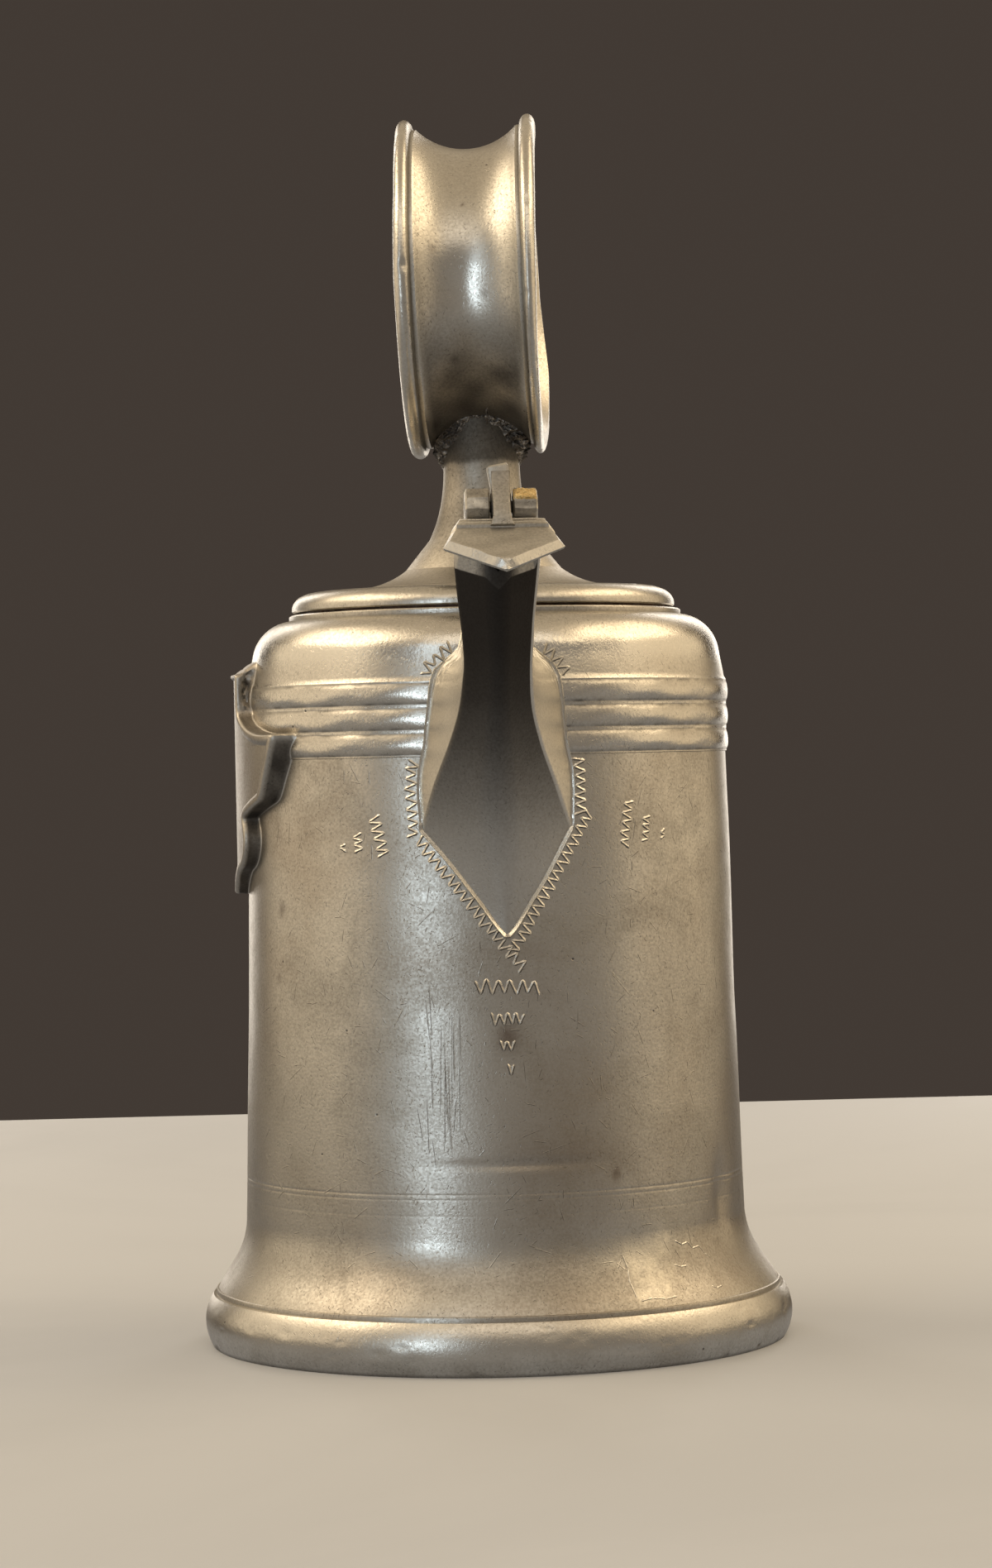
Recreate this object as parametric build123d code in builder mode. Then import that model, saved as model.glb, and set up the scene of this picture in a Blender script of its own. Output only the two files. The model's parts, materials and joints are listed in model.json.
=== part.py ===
"""A bell-shaped pewter flagon with a bayonet lid, a ring handle, a faceted spout and a side shield.

Frame: the floor is Z = 0, the bell's axis is Z, the spout points to -Y and the shield is on -X.
Lengths are in millimetres and angles in degrees.
"""

import os
from math import cos, radians, sin

from build123d import *

# Foot ring and base
foot_height = 15.0
foot_ledge = 0.8
foot_bulge = 2.5
foot_spread = 0.4
foot_ring_width = 6.4
base_thickness = 2.8

# Bell body
wall = 2.6
skirt_radius = 83.4
skirt_band_height = 1.6
skirt_step = 0.7
flare_height = 21.4
flare_foot_angle = 65.0
flare_foot_reach = 7.6
flare_top_reach = 11.0
drum_bottom_radius = 74.2
drum_top_radius = 70.5
drum_height = 134.5

# Ribs, shoulder and mouth
rib_count = 3
rib_height = 7.1
rib_crest = 0.9
shoulder_inset = 1.7
shoulder_rise = 8.2
dome_rise = 10.1
collar_wall = 3.8
collar_rise = 1.6
neck_ring_width = 3.6
neck_ring_height = 7.0

# Bayonet plug, its lugs and the washer
plug_radius = 49.6
plug_wall = 3.0
plug_clearance = 0.8
lug_reach = 3.3
lug_height = 3.5
lug_arc = 20.0
lug_clearance = 0.5
notch_side_arc = 2.0
lid_turn = 40.0
stop_arc = 6.0
stop_clearance_arc = 1.0
seal_thickness = 0.8
seal_width = 3.6
seal_clearance = 0.4

# Lid plate and its trumpet neck
lid_setback = 0.8
lid_edge_height = 1.0
lid_ovolo_width = 7.0
lid_thickness = 5.9
lid_web = 3.0
trumpet_foot_radius = 40.5
trumpet_step = 0.6
trumpet_bore_radius = 28.0
trumpet_foot_reach = 19.0
trumpet_neck_reach = 22.0
trumpet_height = 48.9
neck_radius = 11.3
neck_wall = 2.3
tenon_length = 12.0

# Ring handle and its solder
ring_radius = 50.0
ring_width = 42.0
ring_bead_width = 5.0
ring_bead_rise = 3.0
ring_strip_width = 1.2
ring_channel_depth = 6.3
ring_wall = 3.0
ring_turn = -5.5
ring_lean = 1.5
solder_width = 3.5
solder_height = 9.0

# Spout: its sections stand along the front ridge, measured up from the tip
spout_drop = 50.8
spout_lean = 26.5
spout_length = 112.0
spout_wall = 2.4
mouth_tilt = 30.0
mouth_half_width = 11.7
mouth_front_depth = 9.0
mouth_back_half_width = 10.5
mouth_depth = 24.0
throat_ridge = 88.0
throat_tilt = 16.0
throat_half_width = 9.8
throat_front_depth = 7.8
throat_back_half_width = 8.0
throat_depth = 48.0
waist_ridge = 69.0
waist_tilt = 8.0
waist_half_width = 10.0
waist_front_depth = 8.0
waist_back_half_width = 19.5
waist_depth = 43.5
root_ridge = 33.4
root_half_width = 22.2
root_front_depth = 19.4
root_back_half_width = 23.5
root_depth = 30.0
tip_bury = 8.0
window_lift = 20.0
window_width = 18.0
window_height = 28.0

# Spout lid and its hinge: along the mouth is back from its front corner, up is square to it
pin_radius = 1.6
pin_clearance = 0.06
pin_setback = 2.0
pin_lift = 4.5
hinge_lug_radius = 5.2
hinge_lug_width = 6.8
hinge_lug_drop = 9.0
knuckle_radius = 4.0
lever_width = 5.6
lever_gap = 0.3
lever_height = 12.0
lever_thickness = 4.2
lever_bevel = 1.4
lever_arm = 3.2
spout_lid_gap = 0.3
spout_lid_thickness = 3.0
spout_lid_overhang = 4.0
spout_lid_half_width = 16.4
spout_lid_back_half_width = 13.0
spout_lid_bevel = 1.0
spout_lid_rib_width = 3.6
spout_lid_rib_height = 1.3
spout_lid_clearance = 0.6

# Shield: half widths of its outline, and their drops below its top edge
shield_rise = 6.2
shield_thickness = 5.0
shield_face_radius = 84.0
crest_half_width = 16.0
crest_drop = 15.0
ear_half_width = 43.0
ear_drop = 21.0
ear_hollow = 2.5
ear_foot_half_width = 35.0
ear_foot_drop = 40.0
shield_waist_half_width = 20.0
shield_waist_drop = 45.0
lobe_half_width = 23.0
lobe_drop = 52.0
tail_half_width = 14.0
tail_drop = 60.0
shield_height = 68.0

# Heights worked out from the sizes above
flare_z = foot_height + skirt_band_height
drum_z = flare_z + flare_height
rib_z = drum_z + drum_height
shoulder_z = rib_z + rib_count * rib_height
dome_z = shoulder_z + shoulder_rise
collar_z = dome_z + dome_rise
mouth_rim_z = collar_z + collar_rise
neck_ring_z = mouth_rim_z - neck_ring_height
lug_top_z = neck_ring_z - lug_clearance
plug_z = lug_top_z - lug_height
lid_z = mouth_rim_z + seal_thickness
lid_top_z = lid_z + lid_thickness
neck_top_z = lid_top_z + trumpet_height
tenon_z = neck_top_z - tenon_length

# Radii worked out from the sizes above
foot_top_radius = skirt_radius + foot_ledge
foot_bulge_radius = foot_top_radius + foot_bulge
foot_bottom_radius = foot_top_radius + foot_spread
shoulder_radius = drum_top_radius - shoulder_inset
skirt_inner_radius = skirt_radius - wall
flare_radius = skirt_radius - skirt_step
neck_bore_radius = plug_radius + plug_clearance
mouth_bore_radius = neck_bore_radius + neck_ring_width
collar_radius = mouth_bore_radius + collar_wall
lid_radius = collar_radius - lid_setback
lug_tip_radius = plug_radius + lug_reach
notch_radius = lug_tip_radius + lug_clearance
neck_inner_radius = neck_radius - neck_wall

# The lid's two lugs stand opposite each other, and lock clockwise seen from above
lug_angles = (0.0, 180.0)


def ring_sector(inner_radius, outer_radius, middle, arc):
    """A sector of a flat ring, centred on the angle middle."""
    with BuildSketch() as sector:
        with BuildLine():
            outer = CenterArc((0, 0), outer_radius, middle - arc / 2, arc)
            inner = CenterArc((0, 0), inner_radius, middle - arc / 2, arc)
            Line(outer @ 0, inner @ 0)
            Line(outer @ 1, inner @ 1)
        make_face()
    return sector.sketch


def bell_edge(inset):
    """Draw the bell's side from the flare up to the ribs, moved inwards by inset."""
    start = (flare_radius - inset, flare_z)
    drum_bottom = (drum_bottom_radius - inset, drum_z)
    foot_handle = (
        start[0] - flare_foot_reach * cos(radians(flare_foot_angle)),
        flare_z + flare_foot_reach * sin(radians(flare_foot_angle)),
    )
    top_handle = (drum_bottom[0], drum_z - flare_top_reach)
    Bezier(start, foot_handle, top_handle, drum_bottom)
    Line(drum_bottom, (drum_top_radius - inset, rib_z))


def rib_edge():
    """Draw the row of half-round ribs, one above the other."""
    for rib in range(rib_count):
        low = rib_z + rib * rib_height
        crest = (drum_top_radius + rib_crest, low + rib_height / 2)
        ThreePointArc((drum_top_radius, low), crest, (drum_top_radius, low + rib_height))


def dome_edge():
    """Draw the shoulder from the top rib to the rim of the mouth."""
    side = (shoulder_radius, dome_z)
    Line((drum_top_radius, shoulder_z), side)
    TangentArc(side, (collar_radius, collar_z), tangent=(-shoulder_inset, shoulder_rise))
    Line((collar_radius, collar_z), (collar_radius, mouth_rim_z))


# The filled outside of the bell and shoulder, which trims what is soldered on it
with BuildPart() as body_form:
    with BuildSketch(Plane.XZ):
        with BuildLine():
            bell_edge(0)
            rib_edge()
            dome_edge()
            Polyline(
                (collar_radius, mouth_rim_z),
                (0, mouth_rim_z),
                (0, flare_z),
                (flare_radius, flare_z),
            )
        make_face()
    revolve(axis=Axis.Z)

with BuildPart() as foot_ring:
    foot_inner_radius = foot_top_radius - foot_ring_width
    with BuildSketch(Plane.XZ):
        with BuildLine():
            ThreePointArc(
                (foot_bottom_radius, 0),
                (foot_bulge_radius, foot_height / 2),
                (foot_top_radius, foot_height),
            )
            Polyline(
                (foot_top_radius, foot_height),
                (foot_inner_radius, foot_height),
                (foot_inner_radius, 0),
                (foot_bottom_radius, 0),
            )
        make_face()
    revolve(axis=Axis.Z)

with BuildPart() as base_plate:
    with BuildSketch(Plane.XY.offset(foot_height)):
        Circle(skirt_inner_radius)
    extrude(amount=base_thickness)

# Height of the spout's tip on the bell, and the bell's radius there
tip_z = rib_z - spout_drop
tip_radius = drum_top_radius + (drum_bottom_radius - drum_top_radius) * spout_drop / drum_height

with BuildPart() as bell_body:
    with BuildSketch(Plane.XZ):
        with BuildLine():
            bell_edge(0)
            bell_edge(wall)
            Line((drum_top_radius, rib_z), (drum_top_radius - wall, rib_z))
            Polyline(
                (flare_radius, flare_z),
                (skirt_radius, flare_z),
                (skirt_radius, foot_height),
                (skirt_inner_radius, foot_height),
                (skirt_inner_radius, flare_z),
                (flare_radius - wall, flare_z),
            )
        make_face()
    revolve(axis=Axis.Z)
    # The arched window through which the bell pours into the spout
    with BuildSketch(Plane.XZ):
        with Locations((0, tip_z + window_lift + window_height / 2)):
            SlotOverall(window_height, window_width, rotation=90)
    extrude(amount=drum_bottom_radius, mode=Mode.SUBTRACT)
    # The base plate lies inside the skirt
    add(base_plate.part, mode=Mode.SUBTRACT)

with BuildPart() as shoulder:
    inner_side = (shoulder_radius - wall, dome_z - wall)
    mouth_edge = (mouth_bore_radius, collar_z - wall)
    with BuildSketch(Plane.XZ):
        with BuildLine():
            rib_edge()
            dome_edge()
            Polyline((collar_radius, mouth_rim_z), (mouth_bore_radius, mouth_rim_z), mouth_edge)
            TangentArc(inner_side, mouth_edge, tangent=(0, 1))
            Polyline(
                inner_side,
                (drum_top_radius - wall, shoulder_z),
                (drum_top_radius - wall, rib_z),
                (drum_top_radius, rib_z),
            )
        make_face()
    revolve(axis=Axis.Z)

with BuildPart() as neck_ring:
    with BuildSketch(Plane.XY.offset(neck_ring_z)):
        Circle(mouth_bore_radius)
        Circle(neck_bore_radius, mode=Mode.SUBTRACT)
        # Two notches let the lid's lugs pass
        for angle in lug_angles:
            notch = ring_sector(plug_radius, notch_radius, angle, lug_arc + 2 * notch_side_arc)
            add(notch, mode=Mode.SUBTRACT)
    extrude(amount=neck_ring_height)
    # Stops under the ring end the lugs' turn, open and locked
    stop_offset = lug_arc / 2 + stop_clearance_arc + stop_arc / 2
    with BuildSketch(Plane.XY.offset(plug_z)):
        for angle in lug_angles:
            for middle in (angle + stop_offset, angle - lid_turn - stop_offset):
                add(ring_sector(neck_bore_radius, mouth_bore_radius, middle, stop_arc))
    extrude(amount=neck_ring_z - plug_z)

with BuildPart() as seal_washer:
    seal_inner_radius = plug_radius + seal_clearance
    with BuildSketch(Plane.XY.offset(mouth_rim_z)):
        Circle(seal_inner_radius + seal_width)
        Circle(seal_inner_radius, mode=Mode.SUBTRACT)
    extrude(amount=seal_thickness)

with BuildPart() as lid_plate:
    plug_inner_radius = plug_radius - plug_wall
    edge_top = (lid_radius, lid_z + lid_edge_height)
    crown_edge = (lid_radius - lid_ovolo_width, lid_top_z)
    with BuildSketch(Plane.XZ):
        with BuildLine():
            Line((lid_radius, lid_z), edge_top)
            EllipticalCenterArc(
                (lid_radius - lid_ovolo_width, lid_z + lid_edge_height),
                lid_ovolo_width,
                lid_thickness - lid_edge_height,
            )
            Polyline(
                crown_edge,
                (0, lid_top_z),
                (0, lid_top_z - lid_web),
                (plug_inner_radius, lid_top_z - lid_web),
                (plug_inner_radius, lid_z),
                (lid_radius, lid_z),
            )
        make_face()
    revolve(axis=Axis.Z)

with BuildPart() as lid_plug:
    with BuildSketch(Plane.XY.offset(plug_z)):
        Circle(plug_radius)
        Circle(plug_inner_radius, mode=Mode.SUBTRACT)
    extrude(amount=lid_z - plug_z)

with BuildPart() as bayonet_lugs:
    with BuildSketch(Plane.XY.offset(plug_z)):
        for angle in lug_angles:
            add(ring_sector(plug_radius, lug_tip_radius, angle, lug_arc))
    extrude(amount=lug_height)

# Ring handle: its axis lies across the flagon, turned and leaning a little
ring_axis = Vector(1, 0, 0).rotate(Axis.Y, -ring_lean).rotate(Axis.Z, ring_turn)
ring_up = Vector(0, 0, 1).rotate(Axis.Y, -ring_lean).rotate(Axis.Z, ring_turn)
ring_floor_radius = ring_radius - ring_bead_rise - ring_channel_depth
ring_centre = Vector(0, 0, neck_top_z) + ring_up * ring_floor_radius
ring_plane = Plane(origin=ring_centre, x_dir=ring_axis, z_dir=ring_axis.cross(ring_up))
bead_side = ring_width / 2
strip_side = bead_side - ring_bead_width
channel_side = strip_side - ring_strip_width
channel_edge_radius = ring_radius - ring_bead_rise


def ring_face_edge():
    """Draw the ring's outer face: a bead and a flat strip each side of the hollow channel."""
    for side in (-1, 1):
        ThreePointArc(
            (side * bead_side, channel_edge_radius),
            (side * (bead_side - ring_bead_width / 2), ring_radius),
            (side * strip_side, channel_edge_radius),
        )
        Line(
            (side * strip_side, channel_edge_radius),
            (side * channel_side, channel_edge_radius),
        )
    ThreePointArc(
        (-channel_side, channel_edge_radius),
        (0, ring_floor_radius),
        (channel_side, channel_edge_radius),
    )


# The filled ring, which trims the neck and its solder
with BuildPart() as ring_form:
    with BuildSketch(ring_plane):
        with BuildLine():
            ring_face_edge()
            Polyline(
                (-bead_side, channel_edge_radius),
                (-bead_side, 0),
                (bead_side, 0),
                (bead_side, channel_edge_radius),
            )
        make_face()
    revolve(axis=Axis(ring_centre, ring_axis))

with BuildPart() as ring_handle:
    inner_edge_radius = channel_edge_radius - ring_wall
    with BuildSketch(ring_plane):
        with BuildLine():
            ring_face_edge()
            for side in (-1, 1):
                Line((side * bead_side, channel_edge_radius), (side * bead_side, inner_edge_radius))
            ThreePointArc(
                (-bead_side, inner_edge_radius),
                (0, ring_floor_radius - ring_wall),
                (bead_side, inner_edge_radius),
            )
        make_face()
    revolve(axis=Axis(ring_centre, ring_axis))

with BuildPart() as lid_trumpet:
    foot_top_z = lid_top_z + trumpet_step
    curve_foot = (trumpet_foot_radius - trumpet_step, foot_top_z)
    neck_end_z = neck_top_z + ring_channel_depth
    with BuildSketch(Plane.XZ):
        with BuildLine():
            Polyline(
                (trumpet_bore_radius, lid_top_z),
                (trumpet_foot_radius, lid_top_z),
                (trumpet_foot_radius, foot_top_z),
                curve_foot,
            )
            Bezier(
                curve_foot,
                (curve_foot[0] - trumpet_foot_reach, foot_top_z + trumpet_step),
                (neck_radius, tenon_z - trumpet_neck_reach),
                (neck_radius, tenon_z),
            )
            Polyline(
                (neck_radius, tenon_z),
                (neck_radius, neck_end_z),
                (neck_inner_radius, neck_end_z),
                (neck_inner_radius, tenon_z),
            )
            Bezier(
                (trumpet_bore_radius, lid_top_z),
                (neck_radius, lid_top_z),
                (neck_inner_radius, tenon_z - trumpet_neck_reach),
                (neck_inner_radius, tenon_z),
            )
        make_face()
    revolve(axis=Axis.Z)
    add(ring_form.part, mode=Mode.SUBTRACT)

with BuildPart() as neck_tenon:
    with BuildSketch(Plane.XY.offset(tenon_z)):
        Circle(neck_inner_radius)
    extrude(amount=neck_end_z - tenon_z)
    add(ring_form.part, mode=Mode.SUBTRACT)

with BuildPart() as ring_solder:
    solder_z = neck_top_z - solder_height
    solder_radius = neck_radius + solder_width
    with BuildSketch(Plane.XZ):
        with BuildLine():
            Polyline(
                (neck_radius, solder_z),
                (solder_radius, neck_top_z),
                (solder_radius, neck_end_z),
                (neck_radius, neck_end_z),
                close=True,
            )
        make_face()
    revolve(axis=Axis.Z)
    add(ring_form.part, mode=Mode.SUBTRACT)

# Spout: the front ridge leaves the bell at its tip and leans outwards
ridge_tip = Vector(0, -tip_radius, tip_z)
ridge_direction = Vector(0, -sin(radians(spout_lean)), cos(radians(spout_lean)))
# Each section is its distance up the ridge, its tilt, and its half widths and depths
spout_sections = (
    (-tip_bury, 0, root_half_width, root_front_depth, root_back_half_width, root_depth),
    (root_ridge, 0, root_half_width, root_front_depth, root_back_half_width, root_depth),
    (
        waist_ridge,
        waist_tilt,
        waist_half_width,
        waist_front_depth,
        waist_back_half_width,
        waist_depth,
    ),
    (
        throat_ridge,
        throat_tilt,
        throat_half_width,
        throat_front_depth,
        throat_back_half_width,
        throat_depth,
    ),
    (
        spout_length,
        mouth_tilt,
        mouth_half_width,
        mouth_front_depth,
        mouth_back_half_width,
        mouth_depth,
    ),
)


def spout_plane(ridge, tilt):
    """The plane of a spout section: across is local x, back from the ridge is local y."""
    normal = (0, -sin(radians(tilt)), cos(radians(tilt)))
    return Plane(origin=ridge_tip + ridge_direction * ridge, x_dir=(1, 0, 0), z_dir=normal)


def spout_loft(inset):
    """Loft the spout through its five-sided sections, each drawn in by inset."""
    with BuildPart() as form:
        for ridge, tilt, half_width, front_depth, back_half_width, depth in spout_sections:
            with BuildSketch(spout_plane(ridge, tilt)):
                Polygon(
                    (0, 0),
                    (half_width, front_depth),
                    (back_half_width, depth),
                    (-back_half_width, depth),
                    (-half_width, front_depth),
                    align=None,
                )
                if inset:
                    offset(amount=-inset, kind=Kind.INTERSECTION, mode=Mode.REPLACE)
        loft(ruled=True)
    return form


spout_form = spout_loft(0)
spout_hollow = spout_loft(spout_wall)

with BuildPart() as spout:
    add(spout_form.part)
    add(spout_hollow.part, mode=Mode.SUBTRACT)
    add(body_form.part, mode=Mode.SUBTRACT)

# Hinge: local x runs back along the mouth from its front corner, local y stands square to it
mouth_plane = spout_plane(spout_length, mouth_tilt)
hinge_plane = Plane(origin=mouth_plane.origin, x_dir=mouth_plane.y_dir, z_dir=(1, 0, 0))
pin_place = (mouth_depth + pin_setback, pin_lift)
upright = (sin(radians(mouth_tilt)), cos(radians(mouth_tilt)))
backward = (cos(radians(mouth_tilt)), -sin(radians(mouth_tilt)))
lug_inner_side = lever_width / 2 + lever_gap
lug_outer_side = lug_inner_side + hinge_lug_width
throat_back = spout_plane(throat_ridge, throat_tilt).from_local_coords((0, throat_depth, 0))
wall_foot = hinge_plane.to_local_coords(throat_back)


def hinge_lug(side):
    """Make one fixed knuckle behind the mouth, on the given side of the middle."""
    with BuildPart() as lug:
        with BuildSketch(hinge_plane.offset(side * lug_inner_side)):
            with Locations(pin_place):
                Circle(hinge_lug_radius)
            Polygon(
                (pin_place[0] - hinge_lug_radius, pin_lift),
                (mouth_depth - spout_wall, 0),
                (mouth_depth - spout_wall, -hinge_lug_drop),
                (pin_place[0] + pin_setback, -hinge_lug_drop),
                (pin_place[0] + hinge_lug_radius, pin_lift),
                align=None,
            )
            with Locations(pin_place):
                Circle(pin_radius, mode=Mode.SUBTRACT)
            # Its foot is soldered to the sloping back wall of the spout
            Polygon(
                (0, 0),
                (mouth_depth, 0),
                (wall_foot.X, wall_foot.Y),
                (0, wall_foot.Y),
                align=None,
                mode=Mode.SUBTRACT,
            )
        extrude(amount=side * hinge_lug_width)
    return lug


hinge_lug_left = hinge_lug(-1)
hinge_lug_right = hinge_lug(1)

with BuildPart() as hinge_pin:
    with BuildSketch(hinge_plane):
        with Locations(pin_place):
            Circle(pin_radius)
    extrude(amount=lug_outer_side, both=True)

lid_back = pin_place[0] - hinge_lug_radius - spout_lid_clearance
lid_upper = spout_lid_gap + spout_lid_thickness


def from_pin(up, back):
    """A point of the hinge plane, measured upright and backward from the pin."""
    return (
        pin_place[0] + up * upright[0] + back * backward[0],
        pin_place[1] + up * upright[1] + back * backward[1],
    )


with BuildPart() as thumb_lever:
    half_thickness = lever_thickness / 2
    with BuildSketch(hinge_plane):
        with Locations(pin_place):
            Circle(knuckle_radius)
        Polygon(
            from_pin(0, -half_thickness),
            from_pin(lever_height - lever_bevel, -half_thickness),
            from_pin(lever_height, lever_bevel - half_thickness),
            from_pin(lever_height, half_thickness),
            from_pin(0, half_thickness),
            align=None,
        )
        # The arm reaches forward to the spout lid
        Polygon(
            (lid_back - lever_arm, lid_upper),
            (lid_back, lid_upper),
            (lid_back, spout_lid_gap + spout_lid_thickness / 2),
            (pin_place[0], pin_lift - knuckle_radius),
            (pin_place[0], pin_lift + knuckle_radius),
            (lid_back - lever_arm, lid_upper + lever_arm),
            align=None,
        )
        with Locations(pin_place):
            Circle(pin_radius + pin_clearance, mode=Mode.SUBTRACT)
    extrude(amount=lever_width / 2, both=True)

with BuildPart() as spout_lid:
    lid_tip = -spout_lid_overhang
    lid_corner = lid_tip + spout_lid_half_width * mouth_front_depth / mouth_half_width
    with BuildSketch(mouth_plane.offset(spout_lid_gap)):
        Polygon(
            (0, lid_tip),
            (spout_lid_half_width, lid_corner),
            (spout_lid_back_half_width, lid_back),
            (-spout_lid_back_half_width, lid_back),
            (-spout_lid_half_width, lid_corner),
            align=None,
        )
    extrude(amount=spout_lid_thickness)
    lid_top_edges = faces().sort_by(Axis(mouth_plane.origin, mouth_plane.z_dir))[-1].edges()
    chamfer(lid_top_edges, spout_lid_bevel)
    # A raised rib along the back edge
    with BuildSketch(mouth_plane.offset(lid_upper - spout_lid_bevel)):
        with Locations((0, lid_back)):
            Rectangle(
                2 * spout_lid_back_half_width,
                spout_lid_rib_width,
                align=(Align.CENTER, Align.MAX),
            )
    extrude(amount=spout_lid_bevel + spout_lid_rib_height)
    add(thumb_lever.part, mode=Mode.SUBTRACT)

with BuildPart() as shield:
    shield_top = shoulder_z + shield_rise
    shield_reach = drum_top_radius + shield_thickness
    with BuildSketch(Plane.YZ):
        with BuildLine():
            crest_foot = (crest_half_width, shield_top - crest_drop)
            ear_tip = (ear_half_width, shield_top - ear_drop)
            ear_dip = (
                (crest_half_width + ear_half_width) / 2,
                shield_top - (crest_drop + ear_drop) / 2 - ear_hollow,
            )
            shield_waist = (shield_waist_half_width, shield_top - shield_waist_drop)
            tail = (tail_half_width, shield_top - tail_drop)
            Polyline((0, shield_top), (crest_half_width, shield_top), crest_foot)
            ThreePointArc(crest_foot, ear_dip, ear_tip)
            Polyline(ear_tip, (ear_foot_half_width, shield_top - ear_foot_drop), shield_waist)
            ThreePointArc(shield_waist, (lobe_half_width, shield_top - lobe_drop), tail)
            Line(tail, (0, shield_top - shield_height))
            mirror(about=Plane.YZ)
        make_face()
    extrude(amount=-(shield_reach + shield_thickness))
    with Locations((shield_face_radius - shield_reach, 0, shield_top)):
        Cylinder(shield_face_radius, 2 * shield_height, mode=Mode.INTERSECT)
    add(body_form.part, mode=Mode.SUBTRACT)

pieces = {
    "foot_ring": foot_ring,
    "base_plate": base_plate,
    "bell_body": bell_body,
    "shoulder": shoulder,
    "neck_ring": neck_ring,
    "spout": spout,
    "hinge_lug_left": hinge_lug_left,
    "hinge_lug_right": hinge_lug_right,
    "hinge_pin": hinge_pin,
    "shield": shield,
    "seal_washer": seal_washer,
    "lid_plate": lid_plate,
    "lid_plug": lid_plug,
    "bayonet_lugs": bayonet_lugs,
    "lid_trumpet": lid_trumpet,
    "neck_tenon": neck_tenon,
    "ring_handle": ring_handle,
    "ring_solder": ring_solder,
    "spout_lid": spout_lid,
    "thumb_lever": thumb_lever,
}

os.makedirs("parts", exist_ok=True)
for name, piece in pieces.items():
    piece.part.label = name
    export_step(piece.part, f"parts/{name}.step")

pin_point = hinge_plane.from_local_coords((pin_place[0], pin_place[1], 0))
print("hinge pin at", [round(value, 3) for value in pin_point])
print("mouth rim at height", round(mouth_rim_z, 3))
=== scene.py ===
# %% [markdown]
# # A bell-shaped pewter flagon
#
# The flagon's construction is already a CAD model with joints: the lid turns and lifts, and the
# spout's little lid swings. This lesson gives that model its looks. Every piece is a surface worked
# out with numpy in millimetres, in the CAD model's own frame: the bell's axis is Z, the floor is at
# height 0, the spout points to -Y and the shield is on the -X side.

# %% Load the frame
import json
from math import cos, radians, sin

import bmesh
import bpy
import numpy as np
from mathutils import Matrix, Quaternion, Vector


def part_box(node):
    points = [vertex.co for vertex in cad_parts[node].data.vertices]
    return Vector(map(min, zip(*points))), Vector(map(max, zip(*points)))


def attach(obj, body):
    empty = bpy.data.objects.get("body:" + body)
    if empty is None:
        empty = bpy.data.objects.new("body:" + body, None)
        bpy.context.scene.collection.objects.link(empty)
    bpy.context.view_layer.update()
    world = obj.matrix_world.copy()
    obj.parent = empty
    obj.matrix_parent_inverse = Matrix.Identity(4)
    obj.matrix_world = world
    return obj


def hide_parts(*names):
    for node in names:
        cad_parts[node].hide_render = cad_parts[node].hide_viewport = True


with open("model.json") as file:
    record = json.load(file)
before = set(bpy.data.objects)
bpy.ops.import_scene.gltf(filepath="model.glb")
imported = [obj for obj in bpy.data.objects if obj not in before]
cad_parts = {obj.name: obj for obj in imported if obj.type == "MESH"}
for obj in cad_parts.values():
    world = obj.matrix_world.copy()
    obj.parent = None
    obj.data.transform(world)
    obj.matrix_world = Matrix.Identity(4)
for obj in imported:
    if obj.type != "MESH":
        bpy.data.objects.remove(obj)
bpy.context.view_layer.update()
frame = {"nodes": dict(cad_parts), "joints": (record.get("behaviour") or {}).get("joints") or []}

MM = 0.001


def low(node):
    """The lowest corner of a CAD node, in millimetres."""
    return np.array(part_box(node)[0]) / MM


def high(node):
    """The highest corner of a CAD node, in millimetres."""
    return np.array(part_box(node)[1]) / MM


foot_top_z = high("foot_ring")[2]
rib_drop = 1.0
rib_z = high("bell_body")[2] - rib_drop
mouth_rim_z = high("shoulder")[2]
lid_z = low("lid_plate")[2]
lid_top_z = high("lid_plate")[2]
foot_radius = high("foot_ring")[0]
lid_radius = high("lid_plate")[0]

# %% [markdown]
# ## The camera
#
# The photograph was taken from straight ahead, a little to the left, with a long lens two-fifths of
# the way up the flagon. A long lens far away and a short lens near by can frame a thing alike, but
# they show its round edges differently, so the distance comes first: it is read from how much the
# foot's ellipse opens. The flagon also leans a little to the left in the picture, and that is the
# camera's roll.

# %% Camera
view_distance = 1.223
view_height = 0.1712
view_azimuth = radians(-2.8)
view_roll = radians(-1.2)
focal_pixels = 5000
photo_height_pixels = 1896
sensor_width = 36.0
aim_right = 0.0023
aim_height = 0.1631

outward = Vector((sin(view_azimuth), -cos(view_azimuth), 0))
rightward = Vector((cos(view_azimuth), sin(view_azimuth), 0))
camera = bpy.data.objects.new("camera", bpy.data.cameras.new("camera"))
bpy.context.scene.collection.objects.link(camera)
camera.data.sensor_width = sensor_width
camera.data.lens = focal_pixels / photo_height_pixels * sensor_width
camera.location = outward * view_distance + Vector((0, 0, view_height))
aim = rightward * aim_right + Vector((0, 0, aim_height))
camera.rotation_mode = "QUATERNION"
straight = (aim - camera.location).to_track_quat("-Z", "Y")
camera.rotation_quaternion = straight @ Quaternion((0, 0, 1), view_roll)
bpy.context.scene.camera = camera
print("lens", round(camera.data.lens, 2), "mm")

# %% [markdown]
# ## From a grid of points to a piece
#
# All the pieces are grids: rows of points, each row a line across the surface. One function turns
# such grids into a mesh with foreach_set, which is much faster than adding vertices one at a time.
# A closed direction joins its last line to its first, rows that shrink to a point are welded, and
# edges sharper than a given angle stay crisp. Each grid may carry masks: numbers from 0 to 1 at the
# points, which the materials read to put dirt, wear, painted shade and painted highlights on the piece.

# %% Mesh helper
weld_distance = 2e-6


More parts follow.
